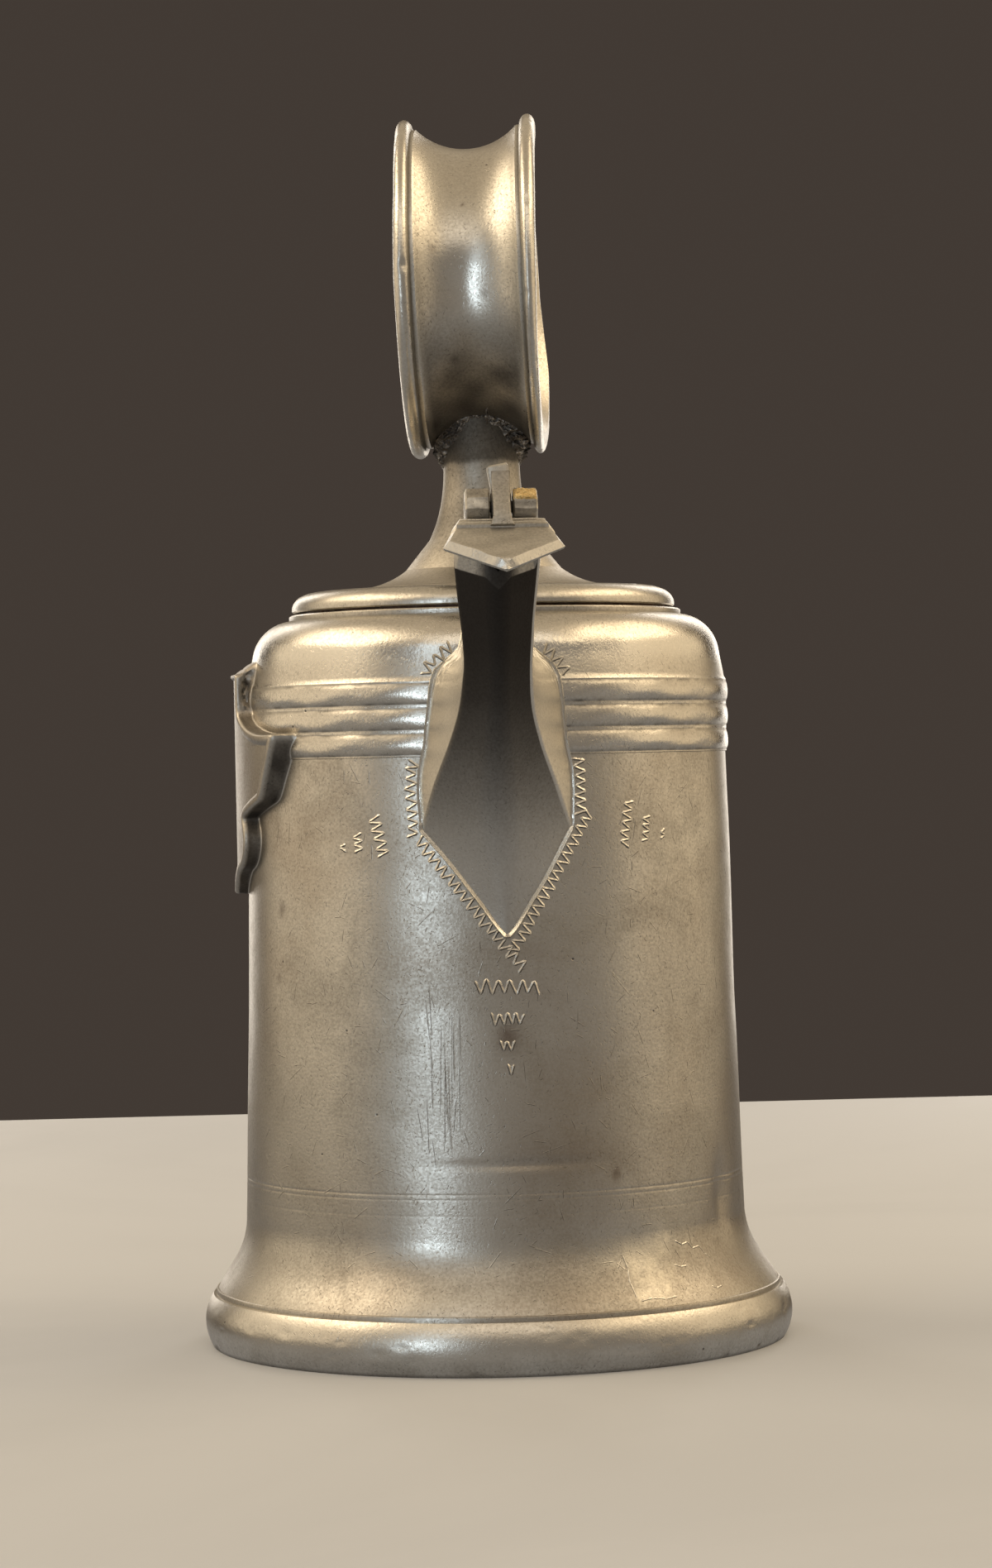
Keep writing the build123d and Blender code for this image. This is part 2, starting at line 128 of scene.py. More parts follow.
def joined(*parts):
    """Coordinates put side by side: the parts, brought to one shape, make the last axis."""
    return np.stack(np.broadcast_arrays(*parts), axis=-1)


def grid_quads(rows, columns, close_rows, close_columns):
    """Corner numbers of a grid's quads; a closed direction joins its last line to its first."""
    row = np.arange(rows if close_rows else rows - 1)[:, None]
    column = np.arange(columns if close_columns else columns - 1)[None, :]
    next_row = (row + 1) % rows
    next_column = (column + 1) % columns
    corners = (
        row * columns + column,
        row * columns + next_column,
        next_row * columns + next_column,
        next_row * columns + column,
    )
    return joined(*corners).reshape(-1, 4)


def add_piece(name, shells, material, body, stands_for=(), masks=None, crease=35):
    """Make one mesh piece from shells, which are (points, close rows, close columns) with points as
    an array of rows, columns and places in millimetres, or of many copies of such a grid."""
    places = []
    faces = []
    count = 0
    for points, close_rows, close_columns in shells:
        rows, columns = points.shape[-3:-1]
        copies = points.reshape(-1, rows * columns, 3)
        quads = grid_quads(rows, columns, close_rows, close_columns)
        starts = count + np.arange(len(copies))[:, None, None] * rows * columns
        faces.append((quads[None] + starts).reshape(-1, 4))
        places.append(copies.reshape(-1, 3))
        count += len(places[-1])
    places = np.concatenate(places) * MM
    faces = np.concatenate(faces)
    mesh = bpy.data.meshes.new(name)
    mesh.vertices.add(len(places))
    mesh.vertices.foreach_set("co", places.astype(np.float32).ravel())
    mesh.loops.add(faces.size)
    mesh.loops.foreach_set("vertex_index", faces.astype(np.int32).ravel())
    mesh.polygons.add(len(faces))
    mesh.polygons.foreach_set("loop_start", np.arange(0, faces.size, 4, dtype=np.int32))
    mesh.update(calc_edges=True)
    for mask, values in (masks or {}).items():
        layer = mesh.attributes.new(mask, "FLOAT", "POINT")
        layer.data.foreach_set("value", np.ravel(values).astype(np.float32))
    shape = bmesh.new()
    shape.from_mesh(mesh)
    bmesh.ops.remove_doubles(shape, verts=shape.verts, dist=weld_distance)
    bmesh.ops.recalc_face_normals(shape, faces=shape.faces)
    shape.to_mesh(mesh)
    shape.free()
    mesh.shade_smooth()
    mesh.set_sharp_from_angle(angle=radians(crease))
    mesh.materials.append(material)
    piece = bpy.data.objects.new(name, mesh)
    bpy.context.scene.collection.objects.link(piece)
    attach(piece, body)
    if stands_for:
        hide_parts(*stands_for)
    print(name, len(mesh.polygons), "faces")
    return piece


# %% [markdown]
# ## Lines and curves
#
# A turned piece is a profile carried round an axis, so most shapes begin as a short list of
# (radius, height) points. These helpers draw the round stretches: a cubic curve with two handles, an
# arc through three points, an arc that starts along a given direction, and a quadratic bend. Others
# split long stretches, so that slow waves have points to move, measure directions and angles, and
# carry a profile round the axis.

# %% Curve helpers
def bezier(start, start_handle, end_handle, end, count):
    """Points on a cubic curve: the four points mixed by the cubic weights of t from 0 to 1."""
    t = np.linspace(0, 1, count)[:, None]
    p, q, r, s = (np.array(point, float) for point in (start, start_handle, end_handle, end))
    return (1 - t) ** 3 * p + 3 * t * (1 - t) ** 2 * q + 3 * t**2 * (1 - t) * r + t**3 * s


def wrapped(angle):
    """Angles brought to within half a turn on either side of 0."""
    return (angle + np.pi) % (2 * np.pi) - np.pi


def arc_along(start, tangent, end, count):
    """Points on the arc that leaves start along tangent and reaches end."""
    start, end = np.array(start, float), np.array(end, float)
    along = np.array(tangent, float) / np.hypot(*tangent)
    side = np.array([-along[1], along[0]])
    chord = end - start
    radius = (chord @ chord) / (2 * (chord @ side))
    centre = start + side * radius
    turn = 2 * np.arctan2(chord @ side, chord @ along)
    angle = np.linspace(0, turn, count)[:, None]
    return centre - radius * (np.cos(angle) * side - np.sin(angle) * along)


def arc_through(start, middle, end, count):
    """Points on the arc through three points, with its tangent found from the chords."""
    start, middle, end = (np.array(point, float) for point in (start, middle, end))
    first, whole = middle - start, end - start
    second = end - middle
    swing = np.arctan2(second[1], second[0]) - np.arctan2(whole[1], whole[0])
    heading = np.arctan2(first[1], first[0]) - wrapped(swing)
    return arc_along(start, (np.cos(heading), np.sin(heading)), end, count)


def fill(points, step):
    """A line through the same corners, with points added so that none are further apart than step."""
    points = np.array(points, float)
    runs = []
    for start, end in zip(points[:-1], points[1:]):
        count = max(1, int(np.ceil(np.hypot(*(end - start)) / step)))
        runs.append(start + (end - start) * np.arange(count)[:, None] / count)
    return np.concatenate(runs + [points[-1:]])


def bend(t, start, corner, end):
    """A quadratic curve: start, corner and end mixed by the quadratic weights of t from 0 to 1."""
    return (1 - t) ** 2 * start + 2 * t * (1 - t) * corner + t**2 * end


def unit(vectors):
    """Vectors divided by their lengths."""
    return vectors / np.linalg.norm(vectors, axis=-1, keepdims=True)


def left_of(run):
    """Directions in a plane, turned left by a right angle."""
    return joined(-run[..., 1], run[..., 0])


def round_axis(radius, angle, height):
    """Places round the bell's axis: x is radius times sine, y minus radius times cosine."""
    return joined(radius * np.sin(angle), -radius * np.cos(angle), height)


def angle_of(points):
    """The angle of places round the bell's axis, by arctangent: 0 faces the spout."""
    return np.arctan2(points[..., 0], -points[..., 1])


def turned(profile, sectors, change=None):
    """Carry a profile of (radius, height) round Z; the radius may change with the angle and height."""
    angle = np.arange(sectors)[None, :] * 2 * np.pi / sectors
    height = profile[:, 1:2] + 0 * angle
    radius = profile[:, 0:1] + (change(angle, height) if change else 0 * angle)
    return round_axis(radius, angle, height)


# %% [markdown]
# Old metal is never even, and nothing on it starts or stops sharply. A sum of sine waves makes smooth
# noise for lumps, nicks and dirt, and a bell curve fades a spot or a line at its edges. Both work on
# whole arrays of points, and so does a straight rise from 0 to 1.

# %% Noise and spots
def ripples(points, size, seed, waves=20):
    """Smooth noise of about -1 to 1: the sum of waves in random directions, each about size long."""
    draw = np.random.default_rng(seed)
    direction = unit(draw.normal(size=(waves, 3)))
    direction *= 2 * np.pi / size * draw.uniform(0.6, 1.6, (waves, 1))
    phase = draw.uniform(0, 2 * np.pi, waves)
    return np.sin(points @ direction.T + phase).sum(-1) / np.sqrt(waves)


def hump(off, width):
    """A bell curve: 1 where off is 0, and about a third of that at the width."""
    return np.exp(-((off / width) ** 2))


def rise(off, width):
    """A number that is 0 up to off = 0, rises straight to 1 at the width, and stays there."""
    return np.clip(off / width, 0, 1)


# %% [markdown]
# ## Old pewter as shader node groups
#
# Pewter is soft. It dents, it takes a dull grey skin with brownish patches, and every year of use
# leaves fine scratches and small pits. Those effects are wanted on nearly every piece, so each one
# is a node group that puts out a mask, and the materials decide what the mask does to the colour,
# the roughness and the bump. The patterns use Object coordinates, which are metres here, so a noise
# scale of 40 gives patches about 25 mm wide.

# %% Node helpers
def add_node(tree, kind, inputs=None, **settings):
    """Add a shader node; its inputs are numbers to set or sockets to link."""
    made = tree.nodes.new("ShaderNode" + kind)
    for name, value in settings.items():
        setattr(made, name, value)
    for name, value in (inputs or {}).items():
        if isinstance(value, bpy.types.NodeSocket):
            tree.links.new(value, made.inputs[name])
        else:
            made.inputs[name].default_value = value
    return made


def new_group(name, numbers, outputs):
    """A node group with a Vector input, some number inputs with their values, and outputs."""
    group = bpy.data.node_groups.new(name, "ShaderNodeTree")
    group.interface.new_socket("Vector", in_out="INPUT", socket_type="NodeSocketVector")
    for socket, value in numbers.items():
        made = group.interface.new_socket(socket, in_out="INPUT", socket_type="NodeSocketFloat")
        made.default_value = value
    for socket in outputs:
        group.interface.new_socket(socket, in_out="OUTPUT", socket_type="NodeSocketFloat")
    start = group.nodes.new("NodeGroupInput")
    end = group.nodes.new("NodeGroupOutput")
    return group, start, end


def ramp(tree, value, start, stop):
    """A mask that rises smoothly from 0 to 1 as the value goes from start to stop."""
    inputs = {"Value": value, "From Min": start, "From Max": stop}
    return add_node(tree, "MapRange", inputs, interpolation_type="SMOOTHSTEP").outputs[0]


def maths(tree, operation, first, second):
    """The result of one sum on two numbers or sockets."""
    return add_node(tree, "Math", {0: first, 1: second}, operation=operation).outputs[0]


def mix(tree, share, first, second):
    """A colour mixed from two colours by a share from 0 to 1."""
    made = add_node(tree, "Mix", {0: share, 6: first, 7: second}, data_type="RGBA")
    return made.outputs[2]


# %% [markdown]
# Tarnish comes in two sizes. Broad clouds of a noise texture are the patches where the skin has grown
# thick, and a very fine noise is the mottled grain that every old pewter surface shows close by.

# %% Tarnish group
tarnish_group, start, end = new_group("Tarnish", {"Scale": 40.0, "Grain": 1300.0}, ["Patches", "Mottle"])
inputs = {"Vector": start.outputs["Vector"], "Scale": start.outputs["Scale"], "Detail": 6.0}
inputs.update({"Roughness": 0.62, "Distortion": 0.6})
broad = add_node(tarnish_group, "TexNoise", inputs)
inputs = {"Vector": start.outputs["Vector"], "Scale": start.outputs["Grain"], "Detail": 3.0}
fine = add_node(tarnish_group, "TexNoise", inputs)
tarnish_group.links.new(ramp(tarnish_group, broad.outputs[0], 0.42, 0.66), end.inputs["Patches"])
tarnish_group.links.new(ramp(tarnish_group, fine.outputs[0], 0.3, 0.7), end.inputs["Mottle"])
print("tarnish group")

# %% [markdown]
# A scratch is a thin line that ends. A Voronoi texture scatters points, and near each point its distance
# is small, so a limit on the distance gives a dot. Stretching the space along one direction turns the
# dots into dashes, and the random colour of a cell decides whether it has one. The Mapping node works
# backwards here (type TEXTURE), because then it turns the space before it stretches it, and layers at
# different angles look like wear.

# %% Scratch group
scratch_group, start, end = new_group("Scratches", {"Scale": 2300.0, "Share": 0.2}, ["Mask"])
scratch_angles = ((0.1, 0.35, 0.0), (0.2, 1.1, 0.3), (-0.2, -0.6, 0.9), (0.5, 2.2, -0.4))
stretch = (1.0, 1.0, 6.0)
total = None
for angles in scratch_angles:
    inputs = {"Vector": start.outputs["Vector"], "Rotation": angles, "Scale": stretch}
    place = add_node(scratch_group, "Mapping", inputs, vector_type="TEXTURE")
    inputs = {"Vector": place.outputs[0], "Scale": start.outputs["Scale"]}
    cells = add_node(scratch_group, "TexVoronoi", inputs)
    chosen = maths(scratch_group, "LESS_THAN", cells.outputs["Color"], start.outputs["Share"])
    near = ramp(scratch_group, cells.outputs["Distance"], 0.34, 0.16)
    dash = maths(scratch_group, "MULTIPLY", near, chosen)
    total = dash if total is None else maths(scratch_group, "MAXIMUM", total, dash)
scratch_group.links.new(total, end.inputs["Mask"])
print("scratch group,", len(scratch_angles), "layers")

# %% [markdown]
# Pits are round and rare, so they are the same dots without the stretching. Again the random colour
# of a cell decides which points become pits at all.

# %% Pit group
pit_group, start, end = new_group("Pits", {"Scale": 260.0, "Share": 0.16}, ["Mask"])
inputs = {"Vector": start.outputs["Vector"], "Scale": start.outputs["Scale"]}
cells = add_node(pit_group, "TexVoronoi", inputs)
chosen = maths(pit_group, "LESS_THAN", cells.outputs["Color"], start.outputs["Share"])
near = ramp(pit_group, cells.outputs["Distance"], 0.26, 0.12)
pit_group.links.new(maths(pit_group, "MULTIPLY", near, chosen), end.inputs["Mask"])
print("pit group")

# %% [markdown]
# A lathe leaves fine rings. They depend only on the distance from the axis and the height, so the
# group feeds those two numbers to a noise texture.

# %% Turning group
turning_group, start, end = new_group("Turning", {"Scale": 900.0}, ["Lines"])
apart = add_node(turning_group, "SeparateXYZ", {0: start.outputs["Vector"]})
square_x = maths(turning_group, "MULTIPLY", apart.outputs[0], apart.outputs[0])
square_y = maths(turning_group, "MULTIPLY", apart.outputs[1], apart.outputs[1])
span = maths(turning_group, "SQRT", maths(turning_group, "ADD", square_x, square_y), 0.0)
ring_place = add_node(turning_group, "CombineXYZ", {0: span, 2: apart.outputs[2]})
inputs = {"Vector": ring_place.outputs[0], "Scale": start.outputs["Scale"], "Detail": 2.0}
rings = add_node(turning_group, "TexNoise", inputs)
turning_group.links.new(rings.outputs[0], end.inputs["Lines"])
print("turning group")

# %% [markdown]
# ## The pewter itself
#
# One function makes every pewter finish from the groups, with its own tones and its own amount of
# tarnish. Pewter is a metal all over, so Metallic is a plain 1 on the shader. The masks of the mesh are
# read by Attribute nodes: one darkens with dirt and with painted shade in corners, creases and hollows,
# one lightens with rubbed wear and with painted highlights on edges and curves, one is where a repair
# was filed, and one is a brown stain.

# %% Material helpers
# mask tones: the light one paints highlights as well as rubbed wear, the dark one paints shade as well as
# dirt
dark_marks_and_shade_tone = (0.035, 0.03, 0.026, 1)
highlight_and_wear_tone = (0.72, 0.68, 0.6, 1)
brown_tone = (0.2, 0.13, 0.07, 1)
stain_tone = (0.1, 0.065, 0.045, 1)
brushed_tone = (0.8, 0.73, 0.6, 1)


def group_node(tree, group, vector, **values):
    """Place a node group in a material, with its own values."""
    made = tree.nodes.new("ShaderNodeGroup")
    made.node_tree = group
    tree.links.new(vector, made.inputs["Vector"])
    for name, value in values.items():
        made.inputs[name].default_value = value
    return made.outputs


def mask_of(tree, name):
    """The number that a mesh carries under this name."""
    return add_node(tree, "Attribute", attribute_name=name).outputs["Fac"]


def add_up(tree, total, terms):
    """A number plus terms, each a mask times a strength, which may be below 0."""
    for mask, strength in terms:
        total = maths(tree, "ADD", total, maths(tree, "MULTIPLY", mask, strength))
    return total


def bump(tree, shader, height, strength, depth):
    """Link a height to the shader's normal, with the height's depth in metres."""
    inputs = {"Height": height, "Strength": strength, "Distance": depth}
    tree.links.new(add_node(tree, "Bump", inputs).outputs[0], shader.inputs["Normal"])


def new_material(name):
    """A material with nodes: itself, its node tree, its shader and its Object coordinates."""
    material = bpy.data.materials.new(name)
    material.use_nodes = True
    tree = material.node_tree
    place = add_node(tree, "TexCoord").outputs["Object"]
    return material, tree, tree.nodes["Principled BSDF"], place


# %% [markdown]
# The colours are mixed in this order: two tones of the metal, brown clouds, scratches, the filed
# repair, rubbed wear with painted highlights, stains, and dirt with painted shade and pits on top.
# Roughness and bump use the same masks, so that a dull patch is rough as well as dark. Turning lines
# run round the bell's axis, or round another axis where one is given.

# %% Pewter
def pewter(name, light, dark, roughness, tarnish=0.3, brown=0.18, axis=None):
    """A pewter finish: light and dark tones mixed by tarnish, with scratches, pits and turning."""
    material, tree, shader, place = new_material(name)
    shader.inputs["Metallic"].default_value = 1.0
    patches = group_node(tree, tarnish_group, place, Scale=34.0)
    clouds = group_node(tree, tarnish_group, place, Scale=13.0)
    scratches = group_node(tree, scratch_group, place)["Mask"]
    pits = group_node(tree, pit_group, place, Scale=520.0, Share=0.05)["Mask"]
    lathe_place = place
    if axis is not None:
        middle, turn = axis
        inputs = {"Vector": place, "Location": middle, "Rotation": turn}
        lathe_place = add_node(tree, "Mapping", inputs, vector_type="TEXTURE").outputs[0]
    lines = group_node(tree, turning_group, lathe_place)["Lines"]
    dark_marks_and_shade, highlight_and_wear = mask_of(tree, "dark_marks_and_shade"), mask_of(tree, "highlight_and_wear")
    brushed, stain = mask_of(tree, "brushed"), mask_of(tree, "stain")

    dull = add_up(tree, 0.0, ((patches["Patches"], tarnish), (patches["Mottle"], 0.5)))
    colour = mix(tree, dull, light, dark)
    for mask, strength, tone in (
        (clouds["Patches"], brown, brown_tone),
        (scratches, 0.5, dark_marks_and_shade_tone),
        (brushed, 0.75, brushed_tone),
        (highlight_and_wear, 0.85, highlight_and_wear_tone),
        (stain, 0.85, stain_tone),
    ):
        colour = mix(tree, maths(tree, "MULTIPLY", mask, strength), colour, tone)
    # pits, dirt and painted shade darken the colour last
    pits_dirt_and_shade = maths(tree, "MAXIMUM", maths(tree, "MULTIPLY", pits, 0.8), dark_marks_and_shade)
    tree.links.new(mix(tree, pits_dirt_and_shade, colour, dark_marks_and_shade_tone), shader.inputs["Base Color"])
    gloss = add_up(tree, roughness, ((dull, 0.16), (dark_marks_and_shade, 0.3), (highlight_and_wear, -0.12), (stain, 0.2)))
    tree.links.new(gloss, shader.inputs["Roughness"])
    relief = ((lines, 0.1), (patches["Mottle"], 0.16), (scratches, -0.3), (pits, -0.8))
    height = add_up(tree, 0.0, relief)
    bump(tree, shader, height, 0.35, 0.0003)
    return material


# %% [markdown]
# Each group of pieces has its own tones. The bell is the most tarnished, the shoulder and the lid are
# smoother, the neck and the shield are darker, and the hinge is rough from filing.

# %% Pewter finishes
bell_pewter = pewter("bell_pewter", (0.57, 0.535, 0.47, 1), (0.36, 0.33, 0.28, 1), 0.32, 0.48, 0.28)
shoulder_pewter = pewter("shoulder_pewter", (0.6, 0.56, 0.49, 1), (0.38, 0.35, 0.3, 1), 0.26)
lid_pewter = pewter("lid_pewter", (0.58, 0.545, 0.475, 1), (0.38, 0.35, 0.3, 1), 0.27)
spout_pewter = pewter("spout_pewter", (0.55, 0.525, 0.475, 1), (0.34, 0.315, 0.28, 1), 0.34)
trumpet_pewter = pewter("trumpet_pewter", (0.5, 0.46, 0.39, 1), (0.33, 0.3, 0.25, 1), 0.4)
shield_pewter = pewter("shield_pewter", (0.37, 0.335, 0.285, 1), (0.25, 0.225, 0.19, 1), 0.38)
hinge_pewter = pewter("hinge_pewter", (0.55, 0.515, 0.45, 1), (0.33, 0.305, 0.265, 1), 0.38)
print("pewter finishes:", [finish.name for finish in bpy.data.materials if "pewter" in finish.name])

# %% [markdown]
# ## The outside of the bell
#
# The bell's wall is one long profile: a flared skirt, a drum that narrows upwards, three ribs, a
# rounded shoulder and a low collar. The bell, the ribs, the spout's seam and the engraving all need
# its radius at a height, so the profile is drawn once, as points that rise, and read back with
# np.interp.

# %% Profile of the bell
wall = 2.6
skirt_radius, skirt_step, skirt_band = 83.4, 0.7, 1.6
flare_z = foot_top_z + skirt_band
flare_radius = skirt_radius - skirt_step
drum_z, drum_radius, drum_top_radius = 38.0, 74.2, 70.5
flare_angle, flare_reach, drum_reach = radians(65), 7.6, 11.0
rib_count, rib_height, rib_crest = 3, 7.1, 0.9
thread_rise, thread_width = 0.34, 0.34
shoulder_z = rib_z + rib_count * rib_height
shoulder_radius, dome_z = 68.8, 202.0
collar_radius, collar_z = 57.8, 212.1

flare_handle = (
    flare_radius - flare_reach * cos(flare_angle),
    flare_z + flare_reach * sin(flare_angle),
)
flare_curve = bezier(
    (flare_radius, flare_z), flare_handle, (drum_radius, drum_z - drum_reach), (drum_radius, drum_z), 40
)
drum_line = fill([(drum_radius, drum_z), (drum_top_radius, rib_z)], 1.6)
dome_side = fill([(drum_top_radius, shoulder_z), (shoulder_radius, dome_z)], 0.8)
dome_curve = arc_along(
    dome_side[-1], dome_side[-1] - dome_side[0], (collar_radius, collar_z), 26
)


def rib_radius(height):
    """Half-round ribs in a row, with a thin raised line in each groove between them."""
    along = np.clip((height - rib_z) / rib_height, 0, rib_count)
    share = along - np.floor(np.minimum(along, rib_count - 1e-9))
    belly = rib_crest * (4 * share * (1 - share)) ** 0.8
    off = (along - np.round(along)) * rib_height
    return drum_top_radius + belly + thread_rise * hump(off, thread_width)


rib_heights = np.linspace(rib_z, shoulder_z, 109)
rib_line = joined(rib_radius(rib_heights), rib_heights)
outside = np.concatenate([flare_curve, drum_line[1:], rib_line[1:], dome_side[1:], dome_curve[1:]])
print("bell profile:", len(outside), "points from", outside[0], "to", outside[-1])

# %% [markdown]
# A hand-worked wall is never quite round. Slow waves and a few dents move it by about a millimetre at
# most, and they are what makes the reflections on old pewter swim. They are functions of the angle and
# the height, so that everything on the bell can follow the same uneven surface.

# %% Dents and waves
dents = (
    # angle, height, half width, half height, depth
    (59.0, 44.0, 4.5, 9.0, 1.1),
    (1.0, 57.5, 16.0, 1.5, 0.5),
    (-20.0, 66.0, 16.0, 18.0, 0.35),
    (30.0, 84.0, 17.0, 16.0, 0.4),
    (28.0, 33.0, 7.0, 6.0, 0.35),
    (-48.0, 120.0, 16.0, 24.0, 0.3),
    (120.0, 70.0, 12.0, 15.0, 0.6),
    (170.0, 120.0, 20.0, 22.0, 0.5),
    (-130.0, 60.0, 14.0, 12.0, 0.7),
    (26.0, 203.0, 7.0, 5.0, 0.35),
    (-150.0, 202.0, 8.0, 5.0, 0.4),
)


def unevenness(angle, height):
    """How far the wall leaves the true profile: slow waves less a flat right side and the dents."""
    waves = 0.15 * np.sin(2 * angle + 0.02 * height) + 0.09 * np.sin(3 * angle - 0.04 * height + 1)
    waves = waves + 0.05 * np.sin(8 * angle + 0.11 * height) - 0.2
    pressed_in = np.clip(np.sin(angle), 0, 1) ** 2 * rise(150 - height, 50)
    waves = waves - 0.8 * pressed_in * rise(height - flare_z, 20)
    change = waves * rise(mouth_rim_z - height, 14)
    for dent_angle, dent_height, half_width, half_height, depth in dents:
        off = wrapped(angle - radians(dent_angle))
        across = off * drum_radius / half_width
        change = change - depth * np.exp(-(across**2) - ((height - dent_height) / half_height) ** 2)
    return change


def body_radius(angle, height):
    """The radius of the bell's outside at an angle and a height, and 0 above its mouth."""
    true = np.interp(height, outside[:, 1], outside[:, 0])
    return np.where(height > collar_z + 1, 0, true + unevenness(angle, height))


def on_body(degrees, height, lift=0.0):
    """A place on the bell's outside, lifted off it by some millimetres."""
    angle = np.radians(degrees)
    radius = body_radius(angle, np.asarray(height, float)) + lift
    return round_axis(radius, angle, height)


print("dents:", len(dents))

# %% [markdown]
# ## The bell
#
# The bell is cast, and its skirt and drum are turned on a lathe. Near the foot the turner left three
# shallow rings, which are grooves in the profile itself. The mesh is a closed wall: the profile goes
# up the outside and down the inside.

# %% Bell
groove_heights = (49.3, 47.9, 43.4)
groove_depths = (0.06, 0.04, 0.02)
groove_width = 0.28
groove_lines = np.arange(42.4, 50.6, 0.2)
crease_lines = np.arange(53.5, 61.5, 0.5)
coarse_lines = outside[outside[:, 1] <= rib_z, 1]
bell_heights = np.unique(np.concatenate([coarse_lines, groove_lines, crease_lines]))
bell_radii = np.interp(bell_heights, outside[:, 1], outside[:, 0])
for groove_height, groove_depth in zip(groove_heights, groove_depths):
    bell_radii = bell_radii - groove_depth * hump(bell_heights - groove_height, groove_width)
bell_outside = joined(bell_radii, bell_heights)
base_radius = skirt_radius - wall
base_top_z = high("base_plate")[2]
inner_line = outside[(outside[:, 1] > base_top_z) & (outside[:, 1] <= rib_z)][::-3] - (wall, 0)
skirt_line = [
    (base_radius, base_top_z),
    (base_radius, foot_top_z),
    (skirt_radius, foot_top_z),
    (skirt_radius, flare_z - 0.35),
    (skirt_radius - 0.12, flare_z - 0.1),
    (skirt_radius - 0.4, flare_z),
]
bell_profile = np.concatenate([bell_outside, inner_line, skirt_line])
bell_points = turned(bell_profile, 360, unevenness)
print("bell grid:", bell_points.shape)

# %% [markdown]
# The bell's surface tells its story. Brown spots sit on the front, a repair beside the foot was filed
# bright in ragged streaks, a painted highlight lightens one spot low on the front, and dirt lies in the
# flare.
# Each is a mask: a table of soft spots, or a patch with edges made ragged by noise.

# %% Marks on the bell
stains = (
    # angle, height, half width, half height, strength
    (0.4, 93.0, 3.6, 4.4, 0.85),
    (24.4, 53.6, 1.1, 2.2, 0.9),
    (-59.7, 128.7, 1.6, 2.2, 0.6),
    (-61.0, 109.0, 1.0, 1.4, 0.5),
    (12.0, 60.0, 22.0, 5.0, 0.25),
    (44.0, 105.0, 16.0, 20.0, 0.16),
)


def spots(points, table):
    """Soft round spots on the bell: each is a bell curve round its place, and the strongest counts."""
    angle = angle_of(points)
    strongest = np.zeros(points.shape[:-1])
    for spot_angle, spot_height, half_width, half_height, strength in table:
        off = wrapped(angle - radians(spot_angle))
        across = off * drum_radius / half_width
        up = (points[..., 2] - spot_height) / half_height
        strongest = np.maximum(strongest, strength * np.exp(-(across**2) - up**2))
    return strongest


repair_left, repair_right = 25.2, 38.5
repair_low_z, repair_high_z = 17.5, 37.0
flare_dirt_z, flare_dirt_width = 26.0, 7.0
bell_degrees = np.degrees(angle_of(bell_points))
ragged = 1.2 * ripples(bell_points, 5, 3)
patch_across = rise(bell_degrees - repair_left + ragged * 0.3, 0.8)
patch_across = patch_across * rise(repair_right - bell_degrees + ragged, 4)
patch_up = rise(bell_points[..., 2] - repair_low_z, 1.5)
patch_up = patch_up * rise(repair_high_z - bell_points[..., 2] + ragged, 4)
streaks = 0.65 + 0.35 * ripples(bell_points * (1, 1, 0.12), 3, 4)
# painted highlight: one soft spot low on the front is lightened and made glossier
painted_highlight_spots = ((-17.7, 37.0, 15.0, 5.0, 0.7),)
bell_masks = {
    "stain": spots(bell_points, stains),
    "highlight_and_wear": spots(bell_points, painted_highlight_spots),
    "brushed": 0.7 * patch_across * patch_up * np.clip(streaks, 0, 1),
    "dark_marks_and_shade": 0.28 * hump(bell_points[..., 2] - flare_dirt_z, flare_dirt_width),
}
bell = add_piece(
    "bell", [(bell_points, True, True)], bell_pewter, "flagon", ["bell_body"], masks=bell_masks
)

# %% [markdown]
# The bell pours into the spout through an arched window in its wall, behind the spout. A slot-shaped
# cutter and a Boolean modifier open it, and the result is kept as the mesh.

# %% Pour window
window_width, window_height = 18.0, 28.0
window_low_z = 141.7
slot_angle = np.linspace(0, 2 * np.pi, 48, endpoint=False)
slot_lift = (window_height - window_width) / 2
slot_middle = window_low_z + window_height / 2
slot_x = window_width / 2 * np.cos(slot_angle)
slot_z = slot_middle + window_width / 2 * np.sin(slot_angle) + slot_lift * np.sign(np.sin(slot_angle))
depths = np.array([60.0, 60.0, 80.0, 80.0])[:, None]
shares = np.array([0.0, 1.0, 1.0, 0.0])[:, None]
cutter_points = joined(shares * slot_x, -depths, slot_middle + shares * (slot_z - slot_middle))
cutter = add_piece("window_cutter", [(cutter_points, False, True)], bell_pewter, "flagon")
cut = bell.modifiers.new("window", "BOOLEAN")
cut.operation = "DIFFERENCE"
cut.solver = "EXACT"
cut.object = cutter
bpy.context.view_layer.update()
opened = bpy.data.meshes.new_from_object(bell.evaluated_get(bpy.context.evaluated_depsgraph_get()))
bell.modifiers.remove(cut)
bell.data = opened
bpy.data.objects.remove(cutter)
print("bell with its window:", len(opened.polygons), "faces")

# %% [markdown]
# ## The foot
#
# The foot is a rounded moulding, and it takes the knocks. Its surface is the same kind of turned
# grid, with over a hundred small nicks pressed into the bulge at seeded random places. The nicks and
# the lower edge, where the foot stands, are darker, and a painted highlight lightens the upper part.

